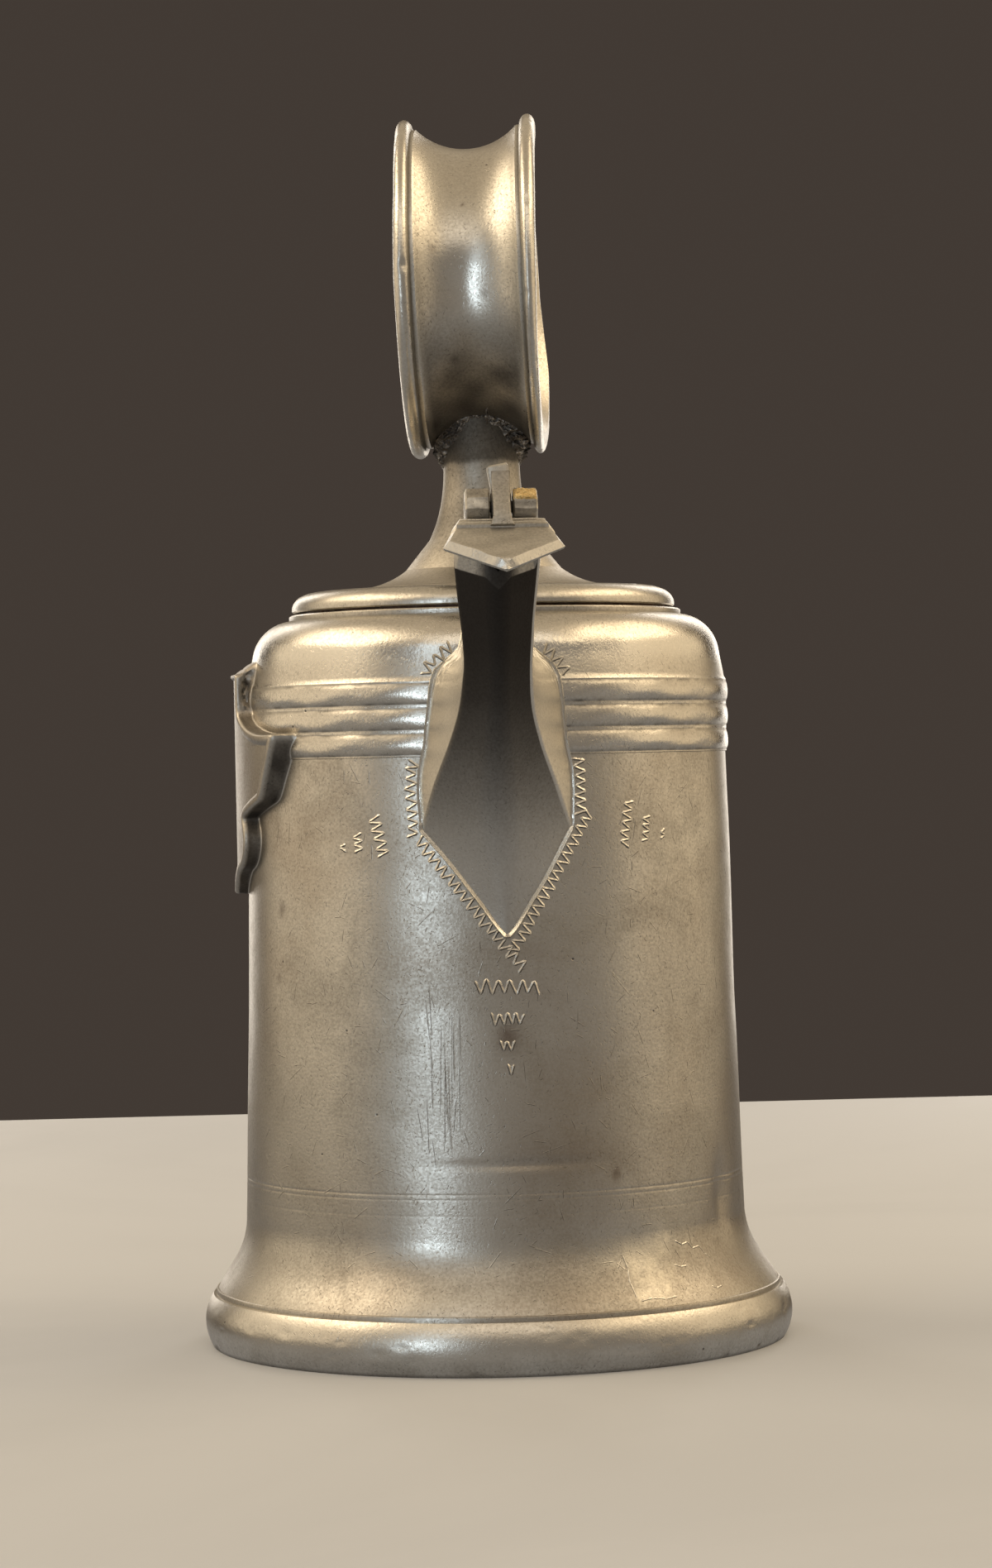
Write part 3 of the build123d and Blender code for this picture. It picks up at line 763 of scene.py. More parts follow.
# %% Foot
foot_bottom_radius, foot_ring_top, foot_inner_radius = 84.6, 84.2, 77.8
foot_curve = arc_through(
    (foot_bottom_radius, 0.0), (foot_radius - 0.02, foot_top_z / 2), (foot_ring_top, foot_top_z), 40
)
foot_inside = fill([(foot_inner_radius, foot_top_z), (foot_inner_radius, 0)], 4)
foot_profile = np.concatenate([foot_curve, foot_inside, [(foot_bottom_radius - 0.8, 0)]])
nick_count = 120
draw = np.random.default_rng(11)
nick_angle = draw.uniform(0, 2 * np.pi, nick_count)
nick_height = draw.uniform(0.5, foot_top_z - 1.5, nick_count)
nick_size = draw.uniform(0.8, 2.6, nick_count)
nick_depth = draw.uniform(0.04, 0.22, nick_count)


def nicks_in(angle, height):
    """The foot's nicks: small bell-shaped hollows, all worked out at once and added up."""
    off = wrapped(angle[..., None] - nick_angle)
    across = off * foot_radius / nick_size
    up = (height[..., None] - nick_height) / (0.6 * nick_size)
    return (nick_depth * np.exp(-(across**2) - up**2)).sum(-1)


def knocks(angle, height):
    """How far the foot leaves its true profile: slow waves less the nicks."""
    return -0.12 - 0.1 * np.sin(2 * angle + 0.6) - nicks_in(angle, height)


foot_points = turned(foot_profile, 480, knocks)
foot_height_share = foot_points[..., 2] / foot_top_z
nick_darkening = 3 * nicks_in(angle_of(foot_points), foot_points[..., 2])
# darker in the nicks and at the bottom edge; painted highlight on the upper part of the bulge
foot_masks = {
    "dark_marks_and_shade": np.clip(0.7 - foot_height_share * 9 + nick_darkening, 0, 0.7),
    "highlight_and_wear": 0.35 * np.clip(foot_height_share * 4 - 0.4, 0, 1),
}
add_piece(
    "foot", [(foot_points, True, True)], bell_pewter, "flagon", ["foot_ring"], masks=foot_masks
)

# %% [markdown]
# ## The shoulder
#
# Ribs, dome and collar are one turned shell. Each rib is a half-round with a thin raised line in the
# groove beside it, and a painted highlight makes that line a bright thread. Painted shade darkens the
# groove below each thread and the crease at the collar, and painted highlights lighten the crests and
# the turn of the dome, so both masks follow the profile.

# %% Shoulder
inner_side = (shoulder_radius - wall, dome_z - wall)
mouth_bore = 54.0
shoulder_inside = [
    (mouth_bore, collar_z - wall),
    (0.5 * (mouth_bore + inner_side[0]) + 3, collar_z - wall - 2.2),
    inner_side,
    (drum_top_radius - wall, shoulder_z),
    (drum_top_radius - wall, rib_z),
]
collar_line = [
    (collar_radius, mouth_rim_z - 0.4),
    (collar_radius - 0.4, mouth_rim_z),
    (mouth_bore, mouth_rim_z),
]
upper = outside[outside[:, 1] >= rib_z]
shoulder_profile = np.concatenate([upper, collar_line, fill(shoulder_inside, 3)])


def shoulder_change(angle, height):
    """The bell's unevenness, with a little more on the ribs, which were dressed by hand."""
    on_rib = np.clip((height - rib_z) * (shoulder_z - height) / 40, 0, 1)
    ribs = 0.07 * np.sin(11 * angle + 0.9 * height) + 0.06 * np.sin(23 * angle - 0.8 * height)
    return unevenness(angle, height) + on_rib * ribs


shoulder_points = turned(shoulder_profile, 360, shoulder_change)
rib_off = (shoulder_points[..., 2] - rib_z) / rib_height
groove_off = np.abs(rib_off - np.round(rib_off)) * rib_height
in_ribs = (rib_off > -0.1) & (rib_off < rib_count + 0.1)
# painted highlights on the threads, crests and dome; painted shade below the threads and at the collar
thread_highlight = hump(groove_off, 0.3) * in_ribs
thread_shade = hump(groove_off - 0.75, 0.4) * in_ribs
collar_crease_shade = hump(shoulder_points[..., 2] - collar_z, 0.6)
speckle = 0.6 + 0.4 * ripples(shoulder_points, 5, 8)
crest_highlight = 0.4 * hump(groove_off - rib_height / 2, 1.6) * in_ribs
dome_highlight = 0.8 * hump(shoulder_points[..., 2] - dome_z, 3.5)
shoulder_masks = {
    "highlight_and_wear": np.maximum(0.7 * thread_highlight * np.clip(speckle, 0, 1), np.maximum(crest_highlight, dome_highlight)),
    "dark_marks_and_shade": np.clip(0.5 * thread_shade * speckle + 0.4 * collar_crease_shade, 0, 0.7),
}
add_piece(
    "shoulder_shell",
    [(shoulder_points, True, True)],
    shoulder_pewter,
    "flagon",
    ["shoulder"],
    masks=shoulder_masks,
)

# %% [markdown]
# ## The lid
#
# The lid is a round plate with a rounded edge, and a trumpet-shaped neck grows out of its middle. Both
# are turned. The plate's edge is a quarter ellipse, and the trumpet is one cubic curve from a small
# step on the plate up to the straight neck. A dark line of painted shade sits in the step.

# %% Lid plate
lid_edge, ovolo_width = 1.0, 7.0
plug_inner_radius, lid_web = 46.6, 3.0
quarter = np.linspace(0, np.pi / 2, 16)
ovolo = joined(
    lid_radius - ovolo_width + ovolo_width * np.cos(quarter),
    lid_z + lid_edge + (lid_top_z - lid_z - lid_edge) * np.sin(quarter),
)
lid_under = [
    (0.0, lid_top_z - lid_web),
    (plug_inner_radius, lid_top_z - lid_web),
    (plug_inner_radius, lid_z),
    (lid_radius - 0.5, lid_z),
    (lid_radius - 0.05, lid_z + 0.4),
]
lid_top = fill([(ovolo[-1, 0] - 0.5, lid_top_z), (0.0, lid_top_z)], 2.5)
lid_profile = np.concatenate([ovolo, lid_top, fill(lid_under, 4)])


def lid_change(angle, height):
    """The plate's edge is worn a little out of round."""
    flat_side = 0.9 * np.clip(np.sin(angle), 0, 1) ** 2 * (height < lid_top_z - 0.1)
    return -0.06 + 0.05 * np.sin(3 * angle + 1) + 0.03 * np.sin(17 * angle) - flat_side


lid_points = turned(lid_profile, 300, lid_change)
lid_points[..., :2] *= np.where(lid_profile[:, 0] > 0, 1, 0)[:, None, None]
lid_span = np.hypot(lid_points[..., 0], lid_points[..., 1])
trumpet_foot_radius = 40.5
# painted shade: a dark line on the plate where the trumpet stands
lid_masks = {"dark_marks_and_shade": 0.6 * hump(lid_span - trumpet_foot_radius, 1.2)}
add_piece("lid_cover", [(lid_points, True, True)], lid_pewter, "lid", ["lid_plate"], masks=lid_masks)

# %% [markdown]
# ## Where the ring is
#
# The ring handle stands on the neck, turned a little and leaning a little. Its axis and centre come
# from the CAD sizes. The neck, the solder and the ring all meet on the ring's outer face, so that
# face is a function: the radius at a distance along the axis. ring_surface_z finds the height at
# which an upright line meets it, by halving an interval, for whole arrays at once.

# %% Ring frame
ring_turn, ring_lean = radians(-5.5), radians(1.5)
ring_half_width = 21.0
bead_width, bead_rise = 5.0, 3.0
strip_side, channel_side = 16.0, 14.8
edge_radius, floor_radius, ring_wall = 47.0, 40.7, 3.0
neck_top_z = 269.3
ring_axis = np.array([cos(ring_lean) * cos(ring_turn), cos(ring_lean) * sin(ring_turn), sin(ring_lean)])
ring_up = np.array([-sin(ring_lean) * cos(ring_turn), -sin(ring_lean) * sin(ring_turn), cos(ring_lean)])
ring_side = np.cross(ring_up, ring_axis)
ring_centre = np.array([0, 0, neck_top_z]) + ring_up * floor_radius
channel_depth = edge_radius - floor_radius
channel_radius = (channel_side**2 + channel_depth**2) / (2 * channel_depth)


def ring_face(along):
    """The ring's outer radius at a distance along its axis: channel, strips and half-round beads."""
    along = np.abs(along)
    dip = np.sqrt(np.maximum(channel_radius**2 - along**2, 0)) - (channel_radius - channel_depth)
    bead_off = (along - (ring_half_width - bead_width / 2)) / (bead_width / 2)
    bead = bead_rise * np.sqrt(np.maximum(1 - bead_off**2, 0))
    beside_channel = edge_radius + np.where(along > strip_side, bead, 0)
    return np.where(along < channel_side, edge_radius - dip, beside_channel)


def ring_surface_z(x, y):
    """The height at which an upright line at (x, y) meets the underside of the ring's outer face."""
    below = np.full(np.shape(x), neck_top_z - 20.0)
    above = np.full(np.shape(x), neck_top_z + 20.0)
    for _ in range(24):
        middle = (below + above) / 2
        offset = joined(x, y, middle) - ring_centre
        along = offset @ ring_axis
        span = np.sqrt(np.maximum((offset**2).sum(-1) - along**2, 0))
        outside_ring = span > ring_face(along)
        below = np.where(outside_ring, middle, below)
        above = np.where(outside_ring, above, middle)
    return below


print("ring centre", ring_centre.round(2), "axis", ring_axis.round(4))

# %% [markdown]
# The neck's top has to fit the ring's hollow face. Cutting it with a Boolean would leave ragged faces,
# so its upper rows are stretched up or down until the last one lies on that face. The heat of
# soldering has left the metal dark near the top, hands have darkened it further down, and painted
# shade darkens the corner where the trumpet meets the plate.

# %% Trumpet neck
neck_radius, neck_bore = 11.3, 9.0
tenon_z = neck_top_z - 12.0
trumpet_step = 0.6
trumpet_foot = (trumpet_foot_radius - trumpet_step, lid_top_z + trumpet_step)
trumpet_curve = bezier(
    trumpet_foot,
    (trumpet_foot[0] - 19.0, trumpet_foot[1] + trumpet_step),
    (neck_radius, tenon_z - 22.0),
    (neck_radius, tenon_z),
    80,
)
trumpet_outside = np.concatenate(
    [
        [(trumpet_foot_radius, lid_top_z), (trumpet_foot_radius, trumpet_foot[1] - 0.2)],
        [(trumpet_foot_radius - 0.2, trumpet_foot[1])],
        trumpet_curve,
        fill([(neck_radius, tenon_z + 0.5), (neck_radius, neck_top_z)], 0.8),
    ]
)
trumpet_inside = [(neck_bore, neck_top_z), (neck_bore, tenon_z), (neck_bore + 3, 240.0), (28.0, lid_top_z)]
trumpet_profile = np.concatenate([trumpet_outside, fill(trumpet_inside, 6)])


def trumpet_change(angle, height):
    """Slow waves on the neck, so that its highlight isn't a ruled line."""
    return 0.06 * np.sin(2 * angle + 0.1 * height) + 0.04 * np.sin(5 * angle - 0.2 * height)


trumpet_points = turned(trumpet_profile, 200, trumpet_change)
neck_share = rise(trumpet_points[..., 2] - tenon_z, neck_top_z - tenon_z)
meet_z = ring_surface_z(trumpet_points[..., 0], trumpet_points[..., 1])
trumpet_points[..., 2] += neck_share * (meet_z + 0.15 - neck_top_z)
up_neck = trumpet_points[..., 2] + 0.8 * ripples(trumpet_points, 12, 25)
burnt_z, warmed_z, handled_z = 257.0, 246.0, 240.0
heat = 0.5 * rise(up_neck - burnt_z, 1.6) + 0.2 * rise(up_neck - warmed_z, 12)
heat = heat + 0.45 * hump(up_neck - handled_z, 9)
# painted shade in the corner at the trumpet's foot
step_shade = 0.3 * hump(trumpet_points[..., 2] - lid_top_z - trumpet_step, 0.5)
add_piece(
    "trumpet_neck",
    [(trumpet_points, True, True)],
    trumpet_pewter,
    "lid",
    ["lid_trumpet"],
    masks={"dark_marks_and_shade": heat + step_shade},
)

# %% [markdown]
# ## The ring handle
#
# The ring is a turned section carried round its own axis: a bead, a flat strip, a hollow channel, and
# the same again. Its inside is hollowed too, so that it is one even, dished band. Years of carrying
# have rubbed the beads bright and left nicks along them. Carrying has also bent the rims, so a small
# table of bends, one number every 30 degrees from the bottom round past the front, moves each rim.

# %% Ring section
bead_angles = np.linspace(np.pi, 0, 13)
bead_middle = ring_half_width - bead_width / 2
bead_along = -bead_middle + bead_width / 2 * np.cos(bead_angles)
left_bead = joined(bead_along, edge_radius + bead_rise * np.sin(bead_angles))
right_bead = left_bead[::-1] * (-1, 1)
channel_along = np.linspace(-channel_side, channel_side, 41)
channel = joined(channel_along, ring_face(channel_along * 0.99999))
inner_edge = edge_radius - ring_wall
inner_along = np.linspace(ring_half_width, -ring_half_width, 25)
inner_depth = inner_edge - (floor_radius - ring_wall)
inner_bend = (ring_half_width**2 + inner_depth**2) / (2 * inner_depth)
inner_dip = np.sqrt(inner_bend**2 - inner_along**2) - (inner_bend - inner_depth)
inner_face = joined(inner_along, inner_edge - inner_dip)
ring_section = np.concatenate([left_bead, channel, right_bead, inner_face])
print("ring section:", len(ring_section), "points")

# %% [markdown]
# The section is carried round by a cosine along the ring's upward direction and a sine along its side.
# Before that, the bends push the rims sideways, noise nicks the beads, and a dent presses the channel
# in where it faces the spout.

# %% Ring surface
ring_sectors = 260
ring_angle = np.arange(ring_sectors)[None, :] * 2 * np.pi / ring_sectors
bend_angles = np.radians(np.arange(-180, 181, 30))
right_bend = (-2.3, -2.1, -1.9, -1.1, -0.6, -0.5, -0.8, -2.2, -3.4, -3.1, -1.3, -1.5, -2.3)
left_bend = (0.1, 0.1, 0.2, 0.2, 0.9, 0.9, 0.5, 0.3, 0.3, 0.3, 0.3, 0.2, 0.1)
near_angle = wrapped(ring_angle)
to_right = rise(ring_section[:, 0:1] - channel_side, ring_half_width - channel_side)
to_left = rise(-ring_section[:, 0:1] - channel_side, ring_half_width - channel_side)
ring_along = ring_section[:, 0:1] + to_right * np.interp(near_angle, bend_angles, right_bend)
ring_along = ring_along + to_left * np.interp(near_angle, bend_angles, left_bend)
ring_span = ring_section[:, 1:2] - 0.12 - 0.1 * np.sin(2 * ring_angle + 1) + 0.04 * np.sin(9 * ring_angle)
on_bead = ring_section[:, 1:2] > edge_radius + 0.3
ring_flat = joined(ring_along, ring_span * np.cos(ring_angle), ring_span * np.sin(ring_angle))
nicks = np.maximum(ripples(ring_flat, 5, 21) - 0.9, 0)
ring_span = ring_span - 0.35 * nicks * on_bead
outer_face = (np.arange(len(ring_section)) < len(ring_section) - len(inner_face))[:, None]
in_channel = outer_face * rise(channel_side - np.abs(ring_section[:, 0:1]), 2)
dent_along, dent_angle, dent_depth = -3.0, radians(-96), 1.2
dent_off = ((ring_along - dent_along) / 7) ** 2 + ((near_angle - dent_angle) * floor_radius / 8) ** 2
ring_span = ring_span - dent_depth * np.exp(-dent_off) * in_channel
ring_points = (
    ring_centre
    + ring_along[..., None] * ring_axis
    + (ring_span * np.cos(ring_angle))[..., None] * ring_up
    + (ring_span * np.sin(ring_angle))[..., None] * ring_side
)
print("ring grid:", ring_points.shape)

# %% [markdown]
# Painted shade darkens the lower part of the channel on both sides of the neck, standing in for a dark
# reflection, and a thin line of painted shade lies in the crease beside each strip. The channel's edges
# and the beads are rubbed bright, a painted highlight lightens the front of the channel, and a few
# round stains lie there too.

# %% Ring handle
# painted shade in the creases beside the strips
strip_off = np.abs(np.abs(ring_section[:, 0:1]) - strip_side)
strip_crease_shade = 0.5 * hump(strip_off, 0.3) * outer_face
# painted shade on the lower channel, standing in for a dark reflection
low_channel_shade = rise(np.abs(near_angle) - radians(106), radians(26)) * in_channel
low_shade_clouds = np.clip(0.85 + 0.2 * ripples(ring_points, 14, 22), 0, 1.1)
low_channel_shade = low_channel_shade * np.where(near_angle < 0, 0.78, 0.5) * low_shade_clouds
edge_shine = hump(np.abs(ring_section[:, 0:1]) - channel_side, 0.35) * outer_face
bead_shine = 0.5 * on_bead * np.clip(0.8 + 0.5 * ripples(ring_points, 16, 23), 0, 1)
# painted highlight on the front of the channel
front_highlight_off = (ring_along / 9) ** 2 + ((near_angle - radians(-95)) * floor_radius / 12) ** 2
front_highlight = 0.55 * np.exp(-front_highlight_off) * in_channel
ring_spots = (
    # distance along the axis, angle, size, strength
    (4.6, -99, 1.3, 0.5),
    (-9.4, -81, 1.0, 0.45),
    (-5.2, -126, 1.3, 0.5),
    (-0.6, -61, 0.5, 0.95),
    (6.0, -76, 0.9, 0.3),
)
spot_mask = np.zeros(ring_points.shape[:2])
for spot_along, spot_angle, spot_size, strength in ring_spots:
    spot_off = (ring_along - spot_along) ** 2 + ((near_angle - radians(spot_angle)) * floor_radius) ** 2
    spot_mask = np.maximum(spot_mask, strength * np.exp(-spot_off / spot_size**2) * in_channel)
ring_masks = {
    "dark_marks_and_shade": np.clip(strip_crease_shade + low_channel_shade, 0, 0.9),
    "highlight_and_wear": np.maximum(np.maximum(0.6 * edge_shine, bead_shine), front_highlight),
    "stain": spot_mask,
}
ring_axis_turn = Vector(ring_axis).to_track_quat("Z", "Y").to_euler()
ring_pewter = pewter(
    "ring_pewter",
    (0.58, 0.545, 0.475, 1),
    (0.37, 0.34, 0.29, 1),
    0.3,
    axis=(tuple(ring_centre * MM), tuple(ring_axis_turn)),
)
add_piece("ring_band", [(ring_points, True, True)], ring_pewter, "lid", ["ring_handle"], masks=ring_masks)

# %% [markdown]
# ## The solder under the ring
#
# The ring was soldered to the neck, and not neatly. The solder is a rough collar: for each direction
# round the neck it runs from a feathered edge on the neck up to the ring's channel. It is thick on
# the two sides, where the channel's walls come down, and thin in front and behind. Two sizes of noise
# make it crumbly. Its own material is a dark, dry grey with light specks.

# %% Rough materials
def plain_metal(name, light, dark, roughness, scale, grain, bump_depth, metallic=1.0):
    """A rough dull material: two tones in mottled patches, with a grainy bump."""
    material, tree, shader, place = new_material(name)
    shader.inputs["Metallic"].default_value = metallic
    patches = group_node(tree, tarnish_group, place, Scale=scale, Grain=grain)
    share = maths(tree, "MULTIPLY", patches["Patches"], patches["Mottle"])
    colour = mix(tree, share, dark, light)
    tree.links.new(mix(tree, mask_of(tree, "dark_marks_and_shade"), colour, dark_marks_and_shade_tone), shader.inputs["Base Color"])
    tree.links.new(add_up(tree, roughness, ((share, -0.2),)), shader.inputs["Roughness"])
    bump(tree, shader, patches["Mottle"], 0.6, bump_depth)
    return material


solder_light, solder_dark = (0.6, 0.57, 0.53, 1), (0.1, 0.09, 0.08, 1)
solder_metal = plain_metal("solder_metal", solder_light, solder_dark, 0.5, 220.0, 900.0, 0.0009)
print("rough material:", solder_metal.name)

# %% [markdown]
# The collar's grid goes round the neck. Up each line the radius and the height are quadratic curves
# from the feathered edge to the channel, and the crumbs push it out. A thin sliver of solder stands
# up in front, as the iron left it.

# %% Solder collar
solder_sectors = 240
solder_angle = np.arange(solder_sectors) * 2 * np.pi / solder_sectors
ring_points_out = joined(np.cos(solder_angle), np.sin(solder_angle), 0 * solder_angle)
lump = ripples(ring_points_out * neck_radius, 9, 31)
sideways = np.abs(np.cos(solder_angle - ring_turn))
solder_width = np.clip(0.5 + 3.2 * sideways**2 + 0.6 * lump, 0.35, 3.4)
solder_drop = np.clip(1.4 + 6.0 * sideways**2 + 1.3 * ripples(ring_points_out * neck_radius, 6, 32), 0.8, 8.5)
top_radius = neck_radius + solder_width
top_z = ring_surface_z(top_radius * np.cos(solder_angle), top_radius * np.sin(solder_angle))
neck_z = ring_surface_z(neck_radius * np.cos(solder_angle), neck_radius * np.sin(solder_angle))
low_z = np.minimum(neck_z, top_z) - solder_drop
t = np.linspace(0, 1, 22)[:, None]
fillet_radius = bend(t, neck_radius - 0.2, neck_radius + 0.45 * solder_width, top_radius)
fillet_z = bend(t, low_z, 0.35 * low_z + 0.65 * top_z, top_z + 0.4)
around = joined(np.cos(solder_angle), np.sin(solder_angle))
collar = np.concatenate([fillet_radius[..., None] * around, fillet_z[..., None]], axis=-1)
crumbs = 0.42 * ripples(collar, 2.6, 33) + 0.3 * ripples(collar, 1.3, 34)
swell = (crumbs + 0.15) * np.sin(np.pi * t) * np.clip(solder_width, 0.4, 1.6)
collar[..., :2] *= (1 + swell / fillet_radius)[..., None]
core_z = np.stack([top_z + 0.4, low_z - 0.1])
core_radius = neck_radius - 0.6
core = joined(core_radius * np.cos(solder_angle), core_radius * np.sin(solder_angle), core_z)
sliver_line = bezier((1.0, -14.2, 268.4), (1.1, -15.2, 270.4), (0.8, -16.6, 272.6), (1.5, -17.6, 274.5), 9)
sliver_size = np.array([0.45, 0.5, 0.5, 0.45, 0.42, 0.36, 0.3, 0.2, 0.0])[:, None, None]
sliver_corners = np.array([(1.0, 0, 0), (0, -0.5, -0.3), (-1.0, 0, 0), (0, 0.5, 0.3)])
sliver = sliver_line[:, None] + sliver_size * sliver_corners
add_piece(
    "solder_collar",
    [(np.concatenate([collar, core]), True, True), (sliver, False, True)],
    solder_metal,
    "lid",
    ["ring_solder"],
    crease=60,
)

# %% [markdown]
# ## The spout
#
# The spout is folded from sheet: two front facets meet in a ridge, two wings go back to the bell, and
# a back wall closes it above the shoulder. Its sections are five-sided, and each size along it is a
# smooth curve through a few stations, written as (distance along the ridge, size). The back narrows
# quickly near the dome, so that each wing ends in a small arch.

# %% Spout stations
ridge_tip = np.array([0.0, -71.9, 121.7])
ridge_lean = radians(26.5)
ridge_direction = np.array([0.0, -sin(ridge_lean), cos(ridge_lean)])
spout_start, spout_length, spout_wall = -8.0, 112.0, 2.4
half_width_at = (
    (-8, 36.8), (10, 29.4), (33.4, 20.9), (46, 17.0), (58.5, 12.7),
    (69, 10.1), (80, 9.4), (90, 9.9), (104, 11.3), (112, 12.0),
)
side_shift_at = (
    (-8, 1.2), (0, 0.9), (20, 0.0), (33.4, -0.9), (46, -1.45), (86, -1.45), (98, -1.8), (112, -1.9),
)
ridge_bow_at = (
    (-8, -2.4), (-2.3, -0.85), (8, 1.5), (20, 3.2), (36, 4.0), (56, 3.4), (80, 1.8), (100, 0.4), (112, 0),
)
ridge_reach_at = ((-8, 0.3), (0, 0.5), (8, 2.0), (16, 3.7), (24, 5.4), (36, 6.5), (80, 3.6), (112, 5.0))
shift_share = np.array([1.0, 1.0, 0.3, 0.3, 1.0])
front_ratio_at = (
    (-8, 0.2), (0, 0.27), (8, 0.42), (16, 0.52), (24, 0.615), (33.4, 0.706), (46, 0.77), (58, 0.8),
    (90, 0.79), (112, 0.77),
)
back_half_width_at = (
    (-8, 25), (10, 25.5), (24, 26.5), (33.4, 27), (46, 26.4), (52, 25.1), (58, 23.5), (66, 22),
    (71, 20.7), (75, 18.4), (77, 16), (78.4, 12.9), (79.7, 10), (81.4, 8.7), (84, 8.3), (90, 8.4),
    (100, 8.8), (112, 10.5),
)
depth_at = ((-8, 30), (15, 30), (33.4, 30), (52, 37), (69, 43.5), (80, 47), (88, 47.4), (100, 36), (112, 24))
tilt_at = ((-8, 0), (15, 0), (33.4, 0), (52, 3.5), (69, 8), (88, 16), (100, 22.5), (112, 30))


def smooth_line(table, x):
    """A smooth curve through a table of (x, value): cubic pieces whose slopes are the mean slopes."""
    knots, values = np.array(table, float).T
    steps = np.diff(values) / np.diff(knots)
    slopes = np.concatenate([steps[:1], (steps[:-1] + steps[1:]) / 2, steps[-1:]])
    piece = np.clip(np.searchsorted(knots, x) - 1, 0, len(knots) - 2)
    width = knots[piece + 1] - knots[piece]
    t = (x - knots[piece]) / width
    ease = 3 * t**2 - 2 * t**3
    return (
        (1 - ease) * values[piece]
        + ease * values[piece + 1]
        + width * t * (1 - t) ** 2 * slopes[piece]
        - width * t**2 * (1 - t) * slopes[piece + 1]
    )


print("spout:", spout_length - spout_start, "mm along the ridge")

# %% [markdown]
# A section's corners are the ridge, the two edges of the front and the two edges of the back. Each is
# rounded by a small curve, and the sides between are split into equal steps, so that all sections
# have the same number of points and join into a grid. Two tubes are made: the outside and, drawn in
# by the wall, the inside.

# %% Spout sections
def five_sides(ridge, inset):
    """The section's corners at each ridge distance, drawn in by inset: ridge, right, back, back, left."""
    half_width = smooth_line(half_width_at, ridge)
    front_depth = half_width * smooth_line(front_ratio_at, ridge)
    back = smooth_line(back_half_width_at, ridge)
    depth = smooth_line(depth_at, ridge) - smooth_line(ridge_bow_at, ridge)
    x = joined(0 * ridge, half_width, back, -back, -half_width)
    y = joined(0 * ridge, front_depth, depth, depth, front_depth)
    corners = joined(x, y)
    if inset:
        inward = left_of(unit(np.roll(corners, -1, axis=1) - corners))
        before = np.roll(inward, 1, axis=1)
        spread = 1 + (inward * before).sum(-1, keepdims=True)
        corners = corners + inset * (inward + before) / spread
    corners[..., 0] += smooth_line(side_shift_at, ridge)[:, None] * shift_share
    return corners


corner_reach = np.array([2.4, 0.9, 2.0, 2.0, 0.9])
corner_steps, side_steps = 5, 30


def spout_tube(ridge, inset=0.0):
    """Points of the spout's sections: each side is split, and each corner is rounded by a small curve."""
    corners = five_sides(ridge, inset)
    after = np.roll(corners, -1, axis=1) - corners
    length = np.linalg.norm(after, axis=-1, keepdims=True)
    after = after / length
    before = np.roll(-after, 1, axis=1)
    reach = np.tile(corner_reach, (len(ridge), 1))
    reach[:, 0] = smooth_line(ridge_reach_at, ridge)
    reach = np.minimum(reach[..., None], 0.3 * length)
    first, last = corners + before * reach, corners + after * reach
    t = np.linspace(0, 1, corner_steps)[None, None, :, None]
    rounded = bend(t, first[:, :, None], corners[:, :, None], last[:, :, None])
    following = np.roll(first, -1, axis=1)
    t = np.arange(1, side_steps)[None, None, :, None] / side_steps
    side = last[:, :, None] * (1 - t) + following[:, :, None] * t
    outline = np.concatenate([rounded, side], axis=2).reshape(len(ridge), -1, 2)
    tilt = np.radians(smooth_line(tilt_at, ridge))
    back_way = joined(0 * tilt, np.cos(tilt), np.sin(tilt))
    origin = ridge_tip + ridge[:, None] * ridge_direction
    origin[:, 1] += smooth_line(ridge_bow_at, ridge)
    across = outline[..., 0:1] * np.array([1.0, 0, 0])
    return origin[:, None] + across + outline[..., 1:2] * back_way[:, None]


ridge_fine = np.linspace(spout_start, spout_length, 961)
tube_out = spout_tube(ridge_fine)
tube_in = spout_tube(ridge_fine, spout_wall)
print("spout tube:", tube_out.shape)

# %% [markdown]
# To seat the spout, every line along it is followed down until it meets the bell's outside, and the
# grid starts there. Cutting the two meshes against each other would leave long thin faces instead.

# %% Meeting the bell
def follow(fine, ridge, wanted):
    """Points of a fine tube at a wanted ridge distance on each of its lines, by linear steps."""
    place = np.clip((wanted - ridge[0]) / (ridge[1] - ridge[0]), 0, len(ridge) - 1.001)
    step = place.astype(int)
    share = (place - step)[..., None]
    line = np.arange(fine.shape[1])[None, :] + 0 * step
    return fine[step, line] * (1 - share) + fine[step + 1, line] * share


def landing(fine, ridge, gap):
    """For each line of a tube, the ridge distance at which it leaves the bell by the gap for good."""
    angle = angle_of(fine)
    span = np.hypot(fine[..., 0], fine[..., 1])
    inside = span < body_radius(angle, fine[..., 2]) + gap
    last = len(ridge) - 1 - np.argmax(inside[::-1], axis=0)
    return ridge[np.minimum(last + 1, len(ridge) - 1)]


def pressed(points, lift):
    """Points moved straight in or out to the bell's outside, lifted by some millimetres."""
    angle = angle_of(points)
    radius = body_radius(angle, points[..., 2]) + lift
    return round_axis(radius, angle, points[..., 2])


# %% [markdown]
# A small raised bead of solder runs round the joint; it catches the light, and a painted highlight
# makes it a bright line. Each of its rows is a step outwards from the joint, at a right angle to the
# line on the drum and away from the spout's sides on the dome, and is pressed onto the bell with its
# own lift.

